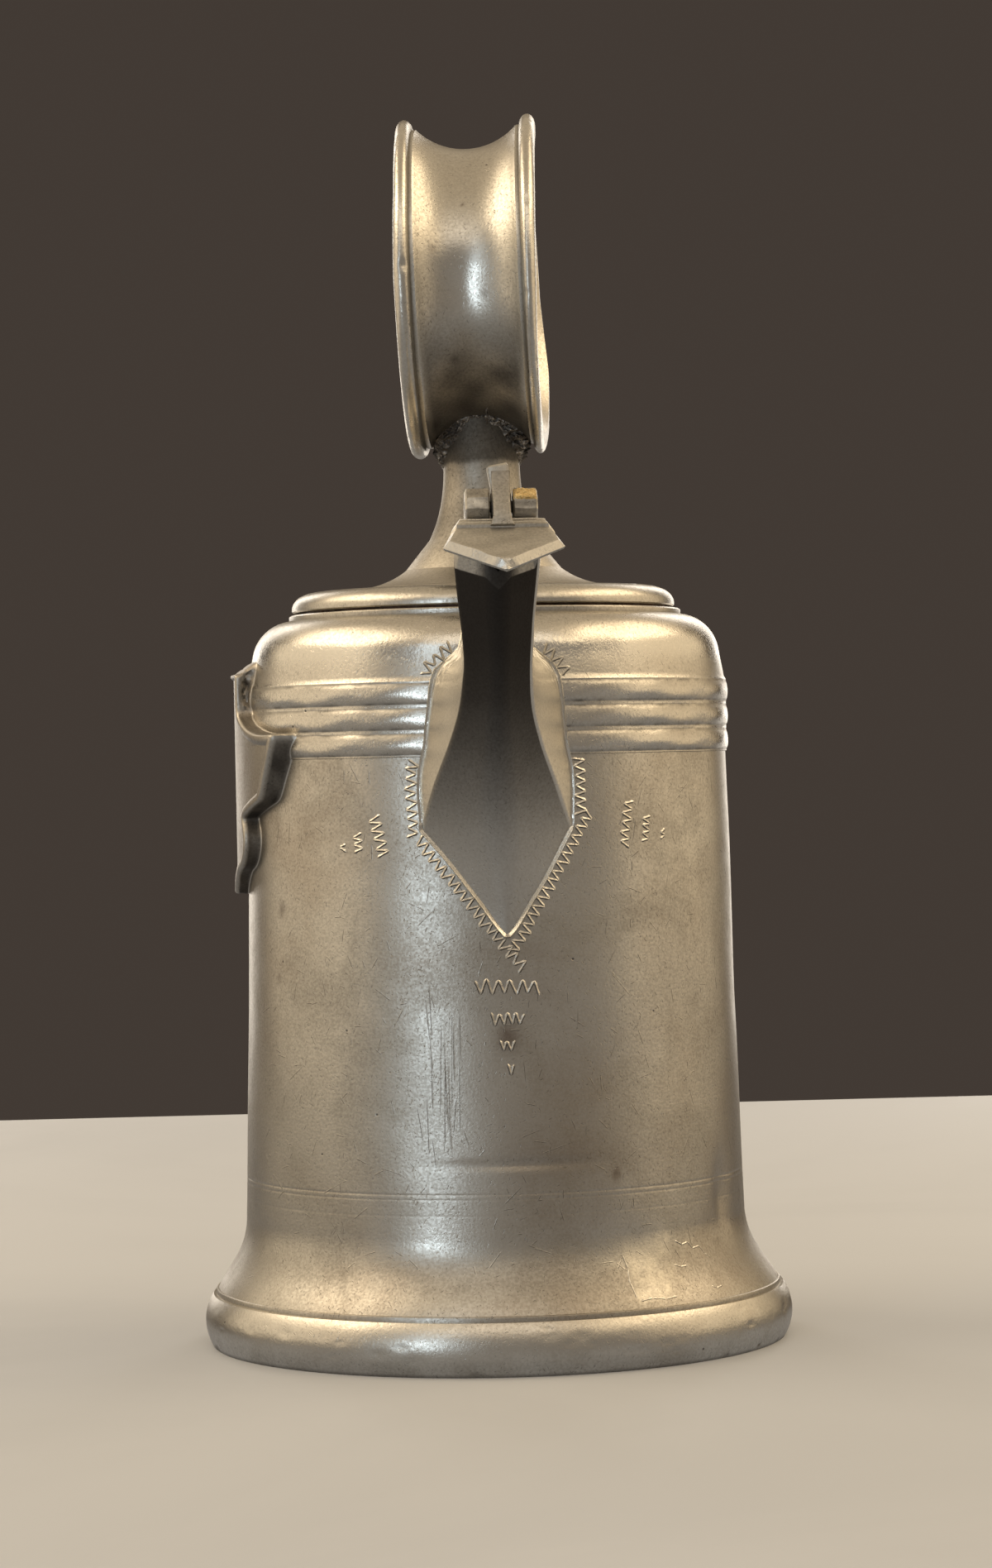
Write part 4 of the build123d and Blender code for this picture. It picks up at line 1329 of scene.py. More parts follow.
# %% Seam of the spout
seam_height = 0.25
bead_steps = ((1.2, -0.15), (1.14, 0.6), (0.92, 0.98), (0.6, 0.74), (0.28, 0.46))
corner_columns = corner_steps + side_steps - 1
seat_out = landing(tube_out, ridge_fine, seam_height)
seat_in = landing(tube_in, ridge_fine, 0.0)
seat_line = follow(tube_out, ridge_fine, seat_out[None, :])
seat_turn = angle_of(seat_line)
seat_flat = joined(seat_turn[0] * drum_top_radius, seat_line[0, :, 2])
seat_way = unit(sum(np.roll(seat_flat, -by, axis=0) - np.roll(seat_flat, by, axis=0) for by in (1, 2)))
round_bell = joined(np.cos(seat_turn), np.sin(seat_turn), 0 * seat_turn)
on_drum = seat_way[:, 1, None] * round_bell - seat_way[:, 0, None] * np.array([0.0, 0.0, 1.0])
off_dome = spout_tube(ridge_fine, -1.0) - tube_out
off_dome = follow(off_dome, ridge_fine, seat_out[None, :])
drum_share = rise(shoulder_z - seat_line[..., 2:], 6)
side_outs = np.repeat([1.0, 0.8, 0.8, 0.8, 1.0], corner_columns)[None, :]
side_lifts = np.repeat([1.0, 0.6, 0.6, 0.6, 1.0], corner_columns)[None, :]
outwards = (drum_share * on_drum + (1 - drum_share) * off_dome) * side_outs[..., None]
seam_rows = np.concatenate(
    [pressed(seat_line + out * outwards, lift * side_lifts) for out, lift in bead_steps]
)
print("seam from", seat_flat[:, 1].min().round(1), "to", seat_flat[:, 1].max().round(1), "mm high")

# %% [markdown]
# The grid goes from the bead up the outside, over a chamfer to the rim and down the inside, and a
# notch at the ridge makes the lip. A painted highlight lightens the front low down, and the front darkens
# with dirt towards the lid. Painted highlights lighten the wings, the bead and the rim's edge away from
# the notch, and painted shade darkens the chamfer and the rim, most at the notch, and the whole inside.

# %% Spout mesh
lip_drop, lip_half_width = 3.0, 3.6
chamfer_share = 0.55
chamfer_drop = np.repeat([4.6, 1.2, 1.0, 1.2, 4.6], corner_columns)
chamfer_drop = sum(np.roll(chamfer_drop, by) for by in range(-2, 3)) / 5
mouth_x = np.abs(tube_out[-1, :, 0] - smooth_line(side_shift_at, spout_length))
front_lines = tube_out[-1, :, 1] < ridge_tip[1] + spout_length * ridge_direction[1] + 6
notch = lip_drop * np.clip(1 - mouth_x / lip_half_width, 0, 1) * front_lines
spout_end = spout_length - notch
rows = np.linspace(0, 1, 170)[:, None]
wanted = seat_out + (spout_end - chamfer_drop - seat_out) * rows
outer_rows = follow(tube_out, ridge_fine, wanted)
rim_out = follow(tube_out, ridge_fine, spout_end[None, :])
rim_in = follow(tube_in, ridge_fine, spout_end[None, :])
rim_edge = rim_out + (rim_in - rim_out) * chamfer_share
chamfer_row = 0.94 * outer_rows[-1:] + 0.06 * rim_edge
inner_wanted = seat_in + (spout_end - seat_in) * np.linspace(1, 0, 30)[:, None]
inner_rows = follow(tube_in, ridge_fine, inner_wanted)
inner_foot = pressed(inner_rows[-1:], -0.15)
spout_points = np.concatenate([seam_rows, outer_rows, chamfer_row, rim_edge, inner_rows, inner_foot])
on_front = np.repeat([1.0, 0.0, 0.0, 0.0, 1.0], corner_columns)[None, :]
on_wing = np.repeat([0.0, 1.0, 0.0, 1.0, 0.0], corner_columns)[None, :]
spout_z = spout_points[..., 2]
dirt_heights = (140, 150, 160, 175, 187, 200, 222)
dirt_shares = (0.08, 0.2, 0.48, 0.8, 0.93, 0.975, 0.985)
front_dirt = np.interp(spout_z, dirt_heights, dirt_shares)
spout_dirt_and_shade = front_dirt * on_front
# painted highlights on the lower front, the wings, the bead and the rim's edge; painted shade on the chamfer,
# the notch and the inside
highlight_top_z = 165
spout_highlight = rise(highlight_top_z - spout_z, 25) * 0.35 * on_front + 0.4 * on_wing
first_outer, rim_row = len(bead_steps), len(bead_steps) + len(outer_rows)
spout_dirt_and_shade[:first_outer] = 0
spout_highlight[:first_outer] = 0.95
in_notch = np.clip(1.9 - mouth_x / lip_half_width, 0, 1) * front_lines
spout_dirt_and_shade[rim_row : rim_row + 2] = 0.35 + 0.6 * in_notch
spout_highlight[rim_row : rim_row + 2] = 0
spout_highlight[rim_row + 1] = 0.6 * (1 - in_notch)
spout_dirt_and_shade[rim_row + 2 :] = 0.6
spout_highlight[rim_row + 2 :] = 0
add_piece(
    "spout_shell",
    [(spout_points, True, True)],
    spout_pewter,
    "flagon",
    ["spout"],
    masks={"highlight_and_wear": spout_highlight, "dark_marks_and_shade": spout_dirt_and_shade},
    crease=32,
)

# %% [markdown]
# ## The spout's lid
#
# The lid is a cast plate with five sides. It is a grid of rows across the plate: the half width is a
# function of the distance back from the tip, the edges are bevelled all round, and along the back
# runs a raised strip with file marks. Its frame is the spout's mouth: across, back and up.

# %% Spout lid
mouth_tilt = radians(30)
mouth_origin = ridge_tip + spout_length * ridge_direction
mouth_back = np.array([0.0, cos(mouth_tilt), sin(mouth_tilt)])
mouth_up = np.array([0.0, -sin(mouth_tilt), cos(mouth_tilt)])


def on_mouth(across, back, up):
    """A place from its distances across, back along and up from the spout's mouth."""
    across, back, up = np.broadcast_arrays(across, back, up)
    level = mouth_origin + across[..., None] * (1.0, 0, 0) + back[..., None] * mouth_back
    return level + up[..., None] * mouth_up


cover_tip, cover_corner, cover_back = -4.0, 8.62, 20.2
corner_half_width, back_half_width = 16.4, 13.0
cover_gap, cover_thick, cover_bevel, bevel_width = 0.3, 3.0, 2.2, 1.7
strip_width, strip_rise = 3.6, 0.8
plate_rows = np.concatenate(
    [
        np.linspace(cover_tip, cover_corner, 26),
        np.linspace(cover_corner + 0.4, cover_back - strip_width - 0.5, 10),
        np.linspace(cover_back - strip_width, cover_back - 0.3, 12),
        [cover_back],
    ]
)[:, None]
half_widths = [0.6, corner_half_width, back_half_width]
plate_half = np.interp(plate_rows, [cover_tip, cover_corner, cover_back], half_widths)
columns = np.linspace(-1, 1, 21)[None, :]
inner_half = np.maximum(plate_half - bevel_width, 0.05)
top_x = np.concatenate([-plate_half, inner_half * columns, plate_half], axis=1)
in_strip = rise(plate_rows - (cover_back - strip_width - 0.45), 0.45)
end_fall = rise(plate_rows - (cover_back - 0.3), 0.3) * 0.5
tip_share = rise(plate_rows - cover_tip, 2.2)
file_marks = 0.1 * ripples(joined(0 * top_x, plate_rows * 6, 0 * top_x), 4, 41)
crown = cover_thick - cover_bevel * (1 - tip_share) + in_strip * (strip_rise + file_marks) - end_fall
crown = crown + 0.12 * ripples(joined(top_x, plate_rows, 0 * top_x), 9, 42)
edge_up = cover_thick - cover_bevel + in_strip * (strip_rise - 0.3) - end_fall
top_up = np.concatenate([edge_up, crown[:, 1:-1] + 0 * columns, edge_up], axis=1)
under_half = np.concatenate([plate_half - 0.1, plate_half - 0.5], axis=1)
under_x = np.concatenate([under_half, 0 * plate_half, -under_half[:, ::-1]], axis=1)
under_up = np.array([[0.5, 0.0, 0.0, 0.0, 0.5]]) + 0 * plate_half
loop_x = np.concatenate([top_x, under_x], axis=1)
loop_up = np.concatenate([top_up, under_up], axis=1) + cover_gap
plate = on_mouth(loop_x, plate_rows, loop_up)
tip_cap = on_mouth(0 * loop_x[:1], plate_rows[:1] - 0.05, 0 * loop_up[:1] + cover_gap + 0.9)
back_cap = on_mouth(0 * loop_x[:1], plate_rows[-1:], 0 * loop_up[:1] + cover_gap + 1.5)
plate_points = np.concatenate([tip_cap, plate, back_cap])
# painted highlights on the bevelled edges; painted shade in the step at the strip's foot
edge_highlight = np.zeros(loop_x.shape)
edge_highlight[:, [0, 1, columns.size, columns.size + 1]] = 0.8
edge_highlight = np.concatenate([edge_highlight[:1], edge_highlight, edge_highlight[-1:]])
step_off = np.abs(plate_rows - (cover_back - strip_width - 0.4)) + 0 * loop_x
strip_step_shade = 0.25 * hump(step_off, 0.5)
strip_step_shade = np.concatenate([strip_step_shade[:1], strip_step_shade, strip_step_shade[-1:]])
add_piece(
    "spout_cover_plate",
    [(plate_points, False, True)],
    hinge_pewter,
    "spout_cover",
    ["spout_lid"],
    masks={"highlight_and_wear": edge_highlight, "dark_marks_and_shade": strip_step_shade},
    crease=28,
)

# %% [markdown]
# ## The thumb lever and its hinge
#
# A tongue stands up between two knuckles, and pushing it back opens the little lid. The tongue and
# its arm are lofts: a rounded rectangle, carried along a line and changing size on the way. The
# hinge's place comes from the joint itself, so the lever can't drift away from its pin.

# %% Lofts
hinge = next(joint for joint in frame["joints"] if joint["name"] == "spout_lid_hinge")
pin = np.array(hinge["pos_m"]) / MM
world_up = np.array([0.0, 0, 1.0])
world_back = np.array([0.0, 1.0, 0])
world_right = np.array([1.0, 0, 0])


def rounded_box(half_x, half_y, cut, steps=3):
    """The outline of a rectangle with its corners cut round, as x and y of a closed loop."""
    angle = np.linspace(0, np.pi / 2, steps)
    turns = (np.arange(4)[:, None] * np.pi / 2 + angle[None, :]).ravel()
    signs_x = np.repeat([1, -1, -1, 1], steps)
    signs_y = np.repeat([1, 1, -1, -1], steps)
    x = signs_x * (half_x - cut) + cut * np.cos(turns)
    y = signs_y * (half_y - cut) + cut * np.sin(turns)
    return x, y


def loft(stations):
    """Rounded rectangles along a line; a station is (middle, x way, y way, half x, half y, cut)."""
    loops = []
    for middle, x_way, y_way, half_x, half_y, cut in stations:
        x, y = rounded_box(half_x, half_y, cut)
        loops.append(middle + x[:, None] * x_way + y[:, None] * y_way)
    first = loops[0].mean(0) + 0 * loops[0]
    last = loops[-1].mean(0) + 0 * loops[-1]
    return np.stack([first] + loops + [last])


print("hinge pin at", pin.round(1), "mm")

# %% [markdown]
# The tongue widens upwards, and its top is worn to a slant. The arm rises from the plate to the pin,
# and the knuckle is a short roller round it. The three grids overlap and make one piece, as solder
# joins them on the real lever.

# %% Thumb lever
tongue_stations = []
for height, half_x, half_y, shift, cut in (
    (-3.0, 2.4, 1.9, 0.0, 0.7),
    (0.0, 2.45, 2.05, 0.0, 0.8),
    (4.0, 2.5, 2.0, -0.05, 0.85),
    (7.0, 2.75, 1.75, -0.35, 0.85),
    (9.5, 2.95, 1.5, -0.6, 0.8),
    (11.4, 2.9, 1.25, -0.7, 0.7),
    (11.95, 2.3, 0.8, -0.6, 0.5),
):
    middle = pin + world_up * height + world_right * shift
    tongue_stations.append((middle, world_right, world_back, half_x, half_y, cut))
tongue = loft(tongue_stations)
top_share = rise(tongue[..., 2] - pin[2] - 9, 3)
tongue[..., 2] -= top_share * np.clip(0.25 - 0.18 * tongue[..., 0], 0, 2)

arm_stations = []
for back, up, half_x, half_y, lean in (
    (16.2, 3.9, 3.3, 0.7, 25),
    (17.2, 4.6, 2.8, 1.0, 26),
    (18.5, 5.5, 2.45, 1.4, 28),
    (21.0, 6.7, 2.4, 1.6, 45),
    (23.6, 8.3, 2.4, 1.6, 60),
    (26.9, 10.5, 2.45, 1.3, 74),
    (28.9, 12.4, 2.5, 0.9, 80),
    (29.6, 13.6, 2.5, 0.4, 82),
):
    way = cos(radians(lean)) * mouth_up - sin(radians(lean)) * mouth_back
    arm_stations.append((on_mouth(0.0, back, up), world_right, way, half_x, half_y, 0.6))
arm = loft(arm_stations)

knuckle_turn = np.linspace(0, 2 * np.pi, 40, endpoint=False)
knuckle_side = np.array([-2.75, -2.75, -2.45, 2.45, 2.75, 2.75])[:, None]
knuckle_radius = np.array([1.7, 3.6, 3.95, 3.95, 3.6, 1.7])[:, None]
knuckle = pin + joined(
    knuckle_side, knuckle_radius * np.cos(knuckle_turn), knuckle_radius * np.sin(knuckle_turn)
)
# painted highlights on the tongue's rounded corners; the tongue, arm and knuckle are darkened evenly, the
# knuckle most
tongue_edge_highlight = np.zeros(tongue.shape[:2])
tongue_edge_highlight[:, ::3] = 0.8
tongue_edge_highlight[:, 2::3] = 0.5
lever_masks = {
    "highlight_and_wear": np.concatenate([tongue_edge_highlight.ravel(), np.zeros(arm[..., 0].size + knuckle[..., 0].size)]),
    "dark_marks_and_shade": np.repeat([0.2, 0.32, 0.5], [tongue[..., 0].size, arm[..., 0].size, knuckle[..., 0].size]),
}
add_piece(
    "lever_tongue",
    [(tongue, False, True), (arm, False, True), (knuckle, True, True)],
    hinge_pewter,
    "spout_cover",
    ["thumb_lever"],
    masks=lever_masks,
    crease=30,
)

# %% [markdown]
# The two fixed knuckles are faceted blocks with a foot on the spout's back wall. Each is one outline,
# carried sideways through seven sizes that bevel its edges, and noise roughens it as filing did.
# Both are patchily dirty. Painted highlights lighten the bevelled edges and the lower part of the right
# knuckle, and a painted shadow lies under the crust.

# %% Fixed knuckles
lug_inner, lug_outer = 3.15, 9.85
pin_back = float((pin - mouth_origin) @ mouth_back)
pin_up = float((pin - mouth_origin) @ mouth_up)
wall_back, wall_drop = 24.0, 9.0
lug_corners = [
    # distances back and up from the pin: eight facets and a foot
    (-4.9, -4.1),
    (-4.75, 2.0),
    (-2.6, 4.35),
    (1.6, 4.85),
    (4.2, 2.9),
    (4.9, -0.6),
    (2.6, -pin_up - wall_drop + 0.4),
    (-0.8, -pin_up - wall_drop + 1.5),
    (wall_back - pin_back - 0.6, -pin_up + 0.1),
]
lug_outline = fill(lug_corners + lug_corners[:1], 0.8)[:-1]
lug_middle = (lug_inner + lug_outer) / 2
lug_sides = [lug_inner, lug_inner, lug_inner + 0.4, lug_middle, lug_outer - 0.5, lug_outer, lug_outer]
lug_sides = np.array(lug_sides)[:, None]
lug_sizes = np.array([0.0, 0.93, 1.0, 1.0, 1.0, 0.9, 0.0])[:, None, None]
lug_loops = lug_outline.mean(0) + lug_sizes * (lug_outline - lug_outline.mean(0))
for side, name in ((-1, "left"), (1, "right")):
    lug_points = on_mouth(side * lug_sides, pin_back + lug_loops[..., 0], pin_up + lug_loops[..., 1])
    roughened = 0.12 * ripples(lug_points, 2.5, 51 + side)
    lug_points = lug_points + roughened[..., None] * mouth_up * (lug_sizes > 0)
    # painted highlight on the bevelled edges
    lug_edge_highlight = np.isin(np.arange(len(lug_sides)), (1, 5))[:, None] * 0.7 + 0 * lug_loops[..., 0]
    lug_dirt_and_shadow = np.clip(0.18 + 0.2 * ripples(lug_points, 5, 55 + side), 0, 0.6)
    if name == "right":
        # painted shadow under the crust, painted highlight on the lower part
        lug_dirt_and_shadow = np.maximum(lug_dirt_and_shadow, 0.5 * hump(lug_loops[..., 1] - 3.0, 0.7))
        lug_edge_highlight = np.maximum(lug_edge_highlight, 0.6 * np.clip(1.2 - lug_loops[..., 1], 0, 1))
    add_piece(
        f"knuckle_{name}",
        [(lug_points, False, True)],
        hinge_pewter,
        "flagon",
        [f"hinge_lug_{name}"],
        masks={"highlight_and_wear": lug_edge_highlight, "dark_marks_and_shade": lug_dirt_and_shadow},
        crease=25,
    )

# %% [markdown]
# A yellowish, crumbly crust of old flux sits on the upper front edge of the right knuckle. It is a
# sheet that follows the edge, raised in its middle, sunk into the metal round its border and roughened
# by noise.

# %% Crust on the right knuckle
crust = plain_metal("old_flux", (0.82, 0.6, 0.26, 1), (0.5, 0.33, 0.12, 1), 0.75, 500.0, 1600.0, 0.0005, 0.0)
crust_line = fill([(-3.2, 3.7), (-2.6, 4.35), (1.4, 4.83)], 0.15)
crust_normal = left_of(unit(np.gradient(crust_line, axis=0)))
crust_x = np.linspace(lug_inner + 0.15, lug_outer - 0.25, 40)[None, :]
crust_share = np.linspace(0, 1, len(crust_line))[:, None]
crust_across = np.linspace(0, 1, crust_x.size)[None, :]
to_border = np.clip(9 * np.minimum(crust_share * (1 - crust_share), crust_across * (1 - crust_across)), 0, 1)
crust_grain = ripples(joined(crust_x, crust_line[:, :1], crust_line[:, 1:]), 1.3, 57)
crust_lift = (0.5 + 0.2 * crust_grain) * to_border - 0.15
crust_back = pin_back + crust_line[:, :1] + crust_lift * crust_normal[:, :1]
crust_up = pin_up + crust_line[:, 1:] + crust_lift * crust_normal[:, 1:]
crust_points = on_mouth(crust_x, crust_back, crust_up)
add_piece("knuckle_crust", [(crust_points, False, False)], crust, "flagon", crease=80)

# %% [markdown]
# ## The shield
#
# A thick cast plaque sits on the bell's left side. Its outline is scrolled like a coat of arms, and
# only half of it is drawn, because the other half mirrors it. A few rounds of averaging soften the
# corners, as casting does.

# %% Shield outline
shield_top = 200.0
half_outline = np.concatenate(
    [
        fill([(0, 0), (16, 0), (16, 15)], 1.2),
        arc_through((16, 15), (29.5, 20.5), (43, 21), 26)[1:],
        fill([(43, 21), (35, 40), (20, 45)], 1.2)[1:],
        arc_through((20, 45), (23, 52), (14, 60), 18)[1:],
        fill([(14, 60), (0, 68)], 1.2)[1:],
    ]
)
shield_outline = np.concatenate([half_outline, half_outline[-2:0:-1] * (-1, 1)])
for _ in range(3):
    previous, following = np.roll(shield_outline, 1, axis=0), np.roll(shield_outline, -1, axis=0)
    shield_outline = (previous + 2 * shield_outline + following) / 4
inwards = left_of(unit(np.roll(shield_outline, -1, axis=0) - np.roll(shield_outline, 1, axis=0)))
print("shield outline:", len(shield_outline), "points")

# %% [markdown]
# The grid goes round the outline. Its rows go from the bell out over the side wall, over a raised rim
# and down to a plain field, which closes on the middle line. The crest falls a little towards the face.

# %% Shield rows
shield_face_radius, shield_reach = 84.0, 75.4
face_steps = (
    # distance in from the outline, and depth below the face
    (-0.1, 1.0),
    (0.0, 0.45),
    (0.25, 0.12),
    (0.6, 0.0),
    (1.6, 0.05),
    (2.4, 0.45),
    (2.9, 0.9),
)


def shield_face(y, height, below):
    """A place on the shield's cylinder-shaped face, some way below it."""
    face_x = shield_face_radius - shield_reach - np.sqrt(shield_face_radius**2 - y**2)
    return joined(face_x + below, y, height)


def beside_shield(spread, lift):
    """A row on the bell round the shield, spread out from its outline and lifted off the bell."""
    loop = shield_outline - inwards * spread
    height = shield_top - loop[:, 1]
    angle = -np.pi / 2 - np.arcsin(loop[:, 0] / drum_top_radius)
    radius = body_radius(angle, height) + lift
    return joined(-np.sqrt(radius**2 - loop[:, 0] ** 2), loop[:, 0], height)


face_rows = []
for inset, below in face_steps:
    loop = shield_outline + inwards * inset
    face_rows.append(shield_face(loop[:, 0], shield_top - loop[:, 1], below))
field_outline = shield_outline + inwards * face_steps[-1][0]
field_height, field_below = shield_top - field_outline[:, 1], face_steps[-1][1]
for share in (0.85, 0.6, 0.3, 0.0):
    face_rows.append(shield_face(field_outline[:, 0] * share, field_height, field_below))
face_rows = np.stack(face_rows)
crest_start_z, crest_fall = 188, 3.4
crest_slope = rise(face_rows[..., 2] - crest_start_z, 12) ** 2
face_rows[..., 2] -= crest_fall * crest_slope
foot_row = beside_shield(0.4, -0.2)
contact_row = beside_shield(0.22, 0.15)
wall_row = beside_shield(0.05, 0.35)
back_row = foot_row * (1, 0, 1) + (3.0, 0, 0)
wall_shares = np.linspace(0, 1, 7)[1:-1, None, None]
wall_rows = wall_row * (1 - wall_shares) + face_rows[:1] * wall_shares
shield_points = np.concatenate([np.stack([back_row, foot_row, contact_row, wall_row]), wall_rows, face_rows])
print("shield grid:", shield_points.shape)

# %% [markdown]
# Noise makes the side walls lumpy, and one side of the crest is broken. Painted shade darkens the lower
# side walls and their foot on the bell, the tips of the ears are rubbed bright, and painted highlights
# lighten the rim and the contact line beside the wall.

# %% Shield plaque
wall_start, face_start = 3, 4 + len(wall_rows)
up_wall = rise(np.arange(len(shield_points)) - wall_start, face_start - wall_start)[:, None]
on_wall = (up_wall > 0) & (up_wall < 1)
lumps = 0.16 * ripples(shield_points, 8, 61) + 0.08 * ripples(shield_points, 2.5, 62)
shield_z = shield_points[..., 2]
crest_low_z, crest_high_z, crest_side = 186, 197.5, -12
broken_crest = rise(shield_z - crest_low_z, 1.5) * rise(crest_high_z - shield_z, 1.5)
mid_wall = np.clip(np.minimum(up_wall, 0.85 - up_wall) * 6, 0, 1)
broken_crest = broken_crest * (shield_points[..., 1] < crest_side) * mid_wall
lumps = lumps + broken_crest * (0.8 + 0.6 * ripples(shield_points, 3, 64))
push = np.concatenate([np.zeros((len(inwards), 1)), inwards * (1, -1)], axis=1)
shield_points = shield_points + (lumps * on_wall)[..., None] * push
# painted shade on the lower side walls
wall_shade_top_z = 182
low_wall = rise(wall_shade_top_z - shield_z, 5)
wall_shade = on_wall * np.clip(0.74 + 0.1 * ripples(shield_points, 9, 63), 0, 0.9) * (0.05 + 0.95 * low_wall)
wall_shade[wall_start] = 0.6 * low_wall[wall_start]
ear_y, ear_z, ear_size = 42, 179.5, 2.6
ear_off = (np.abs(shield_points[..., 1]) - ear_y) ** 2 + (shield_z - ear_z) ** 2
ear_tip = np.exp(-ear_off / ear_size**2)
wall_shade = wall_shade * (1 - ear_tip)
# ear tips rubbed bright; painted highlights on the rim and the contact line
rim_highlight_and_wear = 0.7 * ear_tip * np.clip(0.7 + 0.5 * ripples(shield_points, 2.5, 65), 0, 1)
rim_highlight_and_wear[face_start + 1 : face_start + 3] = 0.3
rim_highlight_and_wear[wall_start - 1] = 0.5
add_piece(
    "shield_plaque",
    [(shield_points, False, True)],
    shield_pewter,
    "flagon",
    ["shield"],
    masks={"dark_marks_and_shade": wall_shade, "highlight_and_wear": rim_highlight_and_wear},
    crease=40,
)

# %% [markdown]
# ## Wrigglework
#
# The zigzag round the spout was cut with a small chisel, walked from corner to corner. Each stroke is
# a shallow cut with a burr thrown up beside it. Cutting that into the bell's mesh would need far
# too many points, so each stroke is a small leaf laid on the surface: five lines across give the cut,
# the burr's steep side and its broad side, which faces up. Painted shade darkens the cut and a painted
# highlight lightens the burr. All strokes are made at once, as one stack of grids.

# %% Strokes
unroll_radius = 71.0
stroke_width, stroke_height = 0.74, 0.3


def strokes(starts, ends, width=stroke_width, height=stroke_height):
    """Leaves on the bell from start to end points, both given as (arc length, height) rows. Across a
    leaf come the cut, the steep side of the burr and its broad side, which faces up, with painted shade
    in the cut and a painted highlight on the burr."""
    t = np.linspace(0, 1, 7)[None, :, None]
    across = np.array([-1.0, -0.5, 0.05, 0.5, 1.0])[None, None, :]
    sideways = left_of(unit(ends - starts))
    sideways = sideways * np.where(sideways[:, 1:] < 0, -1, 1)
    to_end = np.abs(2 * t - 1) ** 1.5
    taper = np.clip(np.minimum(t, 1 - t) * 9, 0.15, 1)
    off = across * width * (0.6 + 0.45 * to_end) * taper
    flat = starts[:, None, None] + (ends - starts)[:, None, None] * t[..., None]
    flat = flat + sideways[:, None, None] * off[..., None]
    burr = np.array([-0.1, 0.06, 1.0, 0.45, -0.15])[None, None, :]
    lift = height * burr * taper * (0.7 + 0.5 * to_end)
    degrees = np.degrees(flat[..., 0] / unroll_radius)
    points = on_body(degrees, flat[..., 1], lift)
    # painted highlight on the burr, painted shade in the cut
    burr_highlight_mask = np.array([0.0, 0.0, 0.7, 1.0, 0.5]) * (0.3 + 0.7 * to_end) + 0 * flat[..., 0]
    cut_dirt_and_shade_mask = np.array([0.75, 1.0, 0.15, 0.0, 0.0]) * (1 - 0.35 * to_end) + 0 * flat[..., 0]
    return points, burr_highlight_mask, cut_dirt_and_shade_mask


def zigzag(line, amplitude, pitch, seed):
    """Strokes that swing from side to side along a line of (arc length, height) points."""
    draw = np.random.default_rng(seed)
    line = np.array(line, float)
    length = np.concatenate([[0], np.cumsum(np.linalg.norm(np.diff(line, axis=0), axis=1))])
    count = max(2, int(round(length[-1] / (pitch / 2))))
    at = np.linspace(0, length[-1], count + 1) + draw.uniform(-0.25, 0.25, count + 1)
    middle = joined(np.interp(at, length, line[:, 0]), np.interp(at, length, line[:, 1]))
    sideways = left_of(unit(np.gradient(middle, axis=0)))
    swing = amplitude / 2 * (-1.0) ** np.arange(count + 1) * draw.uniform(0.8, 1.15, count + 1)
    corners = middle + sideways * swing[:, None]
    return corners[:-1], corners[1:]


print("a stroke is up to", 2 * stroke_width, "mm wide and", stroke_height, "mm high")

# %% [markdown]
# Borders run beside the spout's seam, and short motifs stand beside them and below the spout's tip. For
# a border, the seam's own first row is unrolled to (arc length, height), moved away from the spout,
# and cut into the slanting front, the steep side and the arch on the dome.

# %% Zigzags
border_gap, border_swing, border_pitch = 0.1, 3.5, 2.8
arch_half_width = 13.0
tip_skip, corner_skip, steep_skip = 6, 8, 4
half_columns = corner_columns * 5 // 2
seam = spout_points[0]
seam_flat = joined(angle_of(seam) * unroll_radius, seam[:, 2])
seam_from_tip = np.roll(seam_flat, -(corner_steps // 2), axis=0)
border_lines = []
for side, half, past_tip, past_corner, below_corner in (
    (1, seam_from_tip[:half_columns], 12.4, 10.0, 0.0),
    (-1, seam_from_tip[::-1][:half_columns], 22.4, 3.0, 5.0),
):
    away = -side * left_of(unit(np.gradient(half, axis=0)))
    beside = half + away * (border_gap + border_swing / 2)
    first, last = beside[tip_skip], beside[corner_columns - corner_skip]
    slant = unit(last - first)
    border_lines.append([first - slant * past_tip, last + slant * past_corner])
    steep = beside[corner_columns + steep_skip :]
    rising = steep[: np.argmax(steep[:, 1]) + 1]
    under_ribs = np.linspace(rising[0, 1] - below_corner, rib_z - 0.8, 12)
    border_lines.append(joined(np.interp(under_ribs, rising[:, 1], rising[:, 0]), under_ribs))
    along = np.linspace(0, len(steep) - 1, 300)
    arch = np.stack([np.interp(along, np.arange(len(steep)), part) for part in steep.T], axis=-1)
    on_dome = (arch[:, 1] > shoulder_z + 1) & (np.abs(arch[:, 0]) > arch_half_width)
    border_lines.append(arch[on_dome])
motif_lines = (
    # start and end as (angle, height), swing and pitch
    ((-29.7, 155.2), (-27.7, 143.6), 4.2, 2.7),
    ((-34.3, 150.4), (-33.9, 145.1), 3.2, 2.1),
    ((-38.5, 147.4), (-38.5, 145.1), 2.4, 2.0),
    ((31.1, 158.3), (29.5, 144.9), 3.4, 2.7),
    ((36.5, 153.7), (35.4, 146.3), 2.8, 2.2),
    ((41.3, 149.8), (41.2, 146.8), 1.9, 1.9),
    ((-6.8, 107.1), (7.7, 106.7), 4.4, 3.3),
    ((-3.3, 98.1), (4.2, 97.8), 3.6, 2.4),
    ((-1.6, 90.7), (2.1, 90.6), 3.2, 2.3),
    ((0.2, 83.9), (1.6, 83.9), 3.0, 1.8),
)
zigzags = [zigzag(line, border_swing, border_pitch, 70 + n) for n, line in enumerate(border_lines)]
for number, (first, last, swing, pitch) in enumerate(motif_lines):
    line = [(radians(degrees) * unroll_radius, height) for degrees, height in (first, last)]
    zigzags.append(zigzag(line, swing, pitch, 90 + number))
all_starts, all_ends = zip(*zigzags)
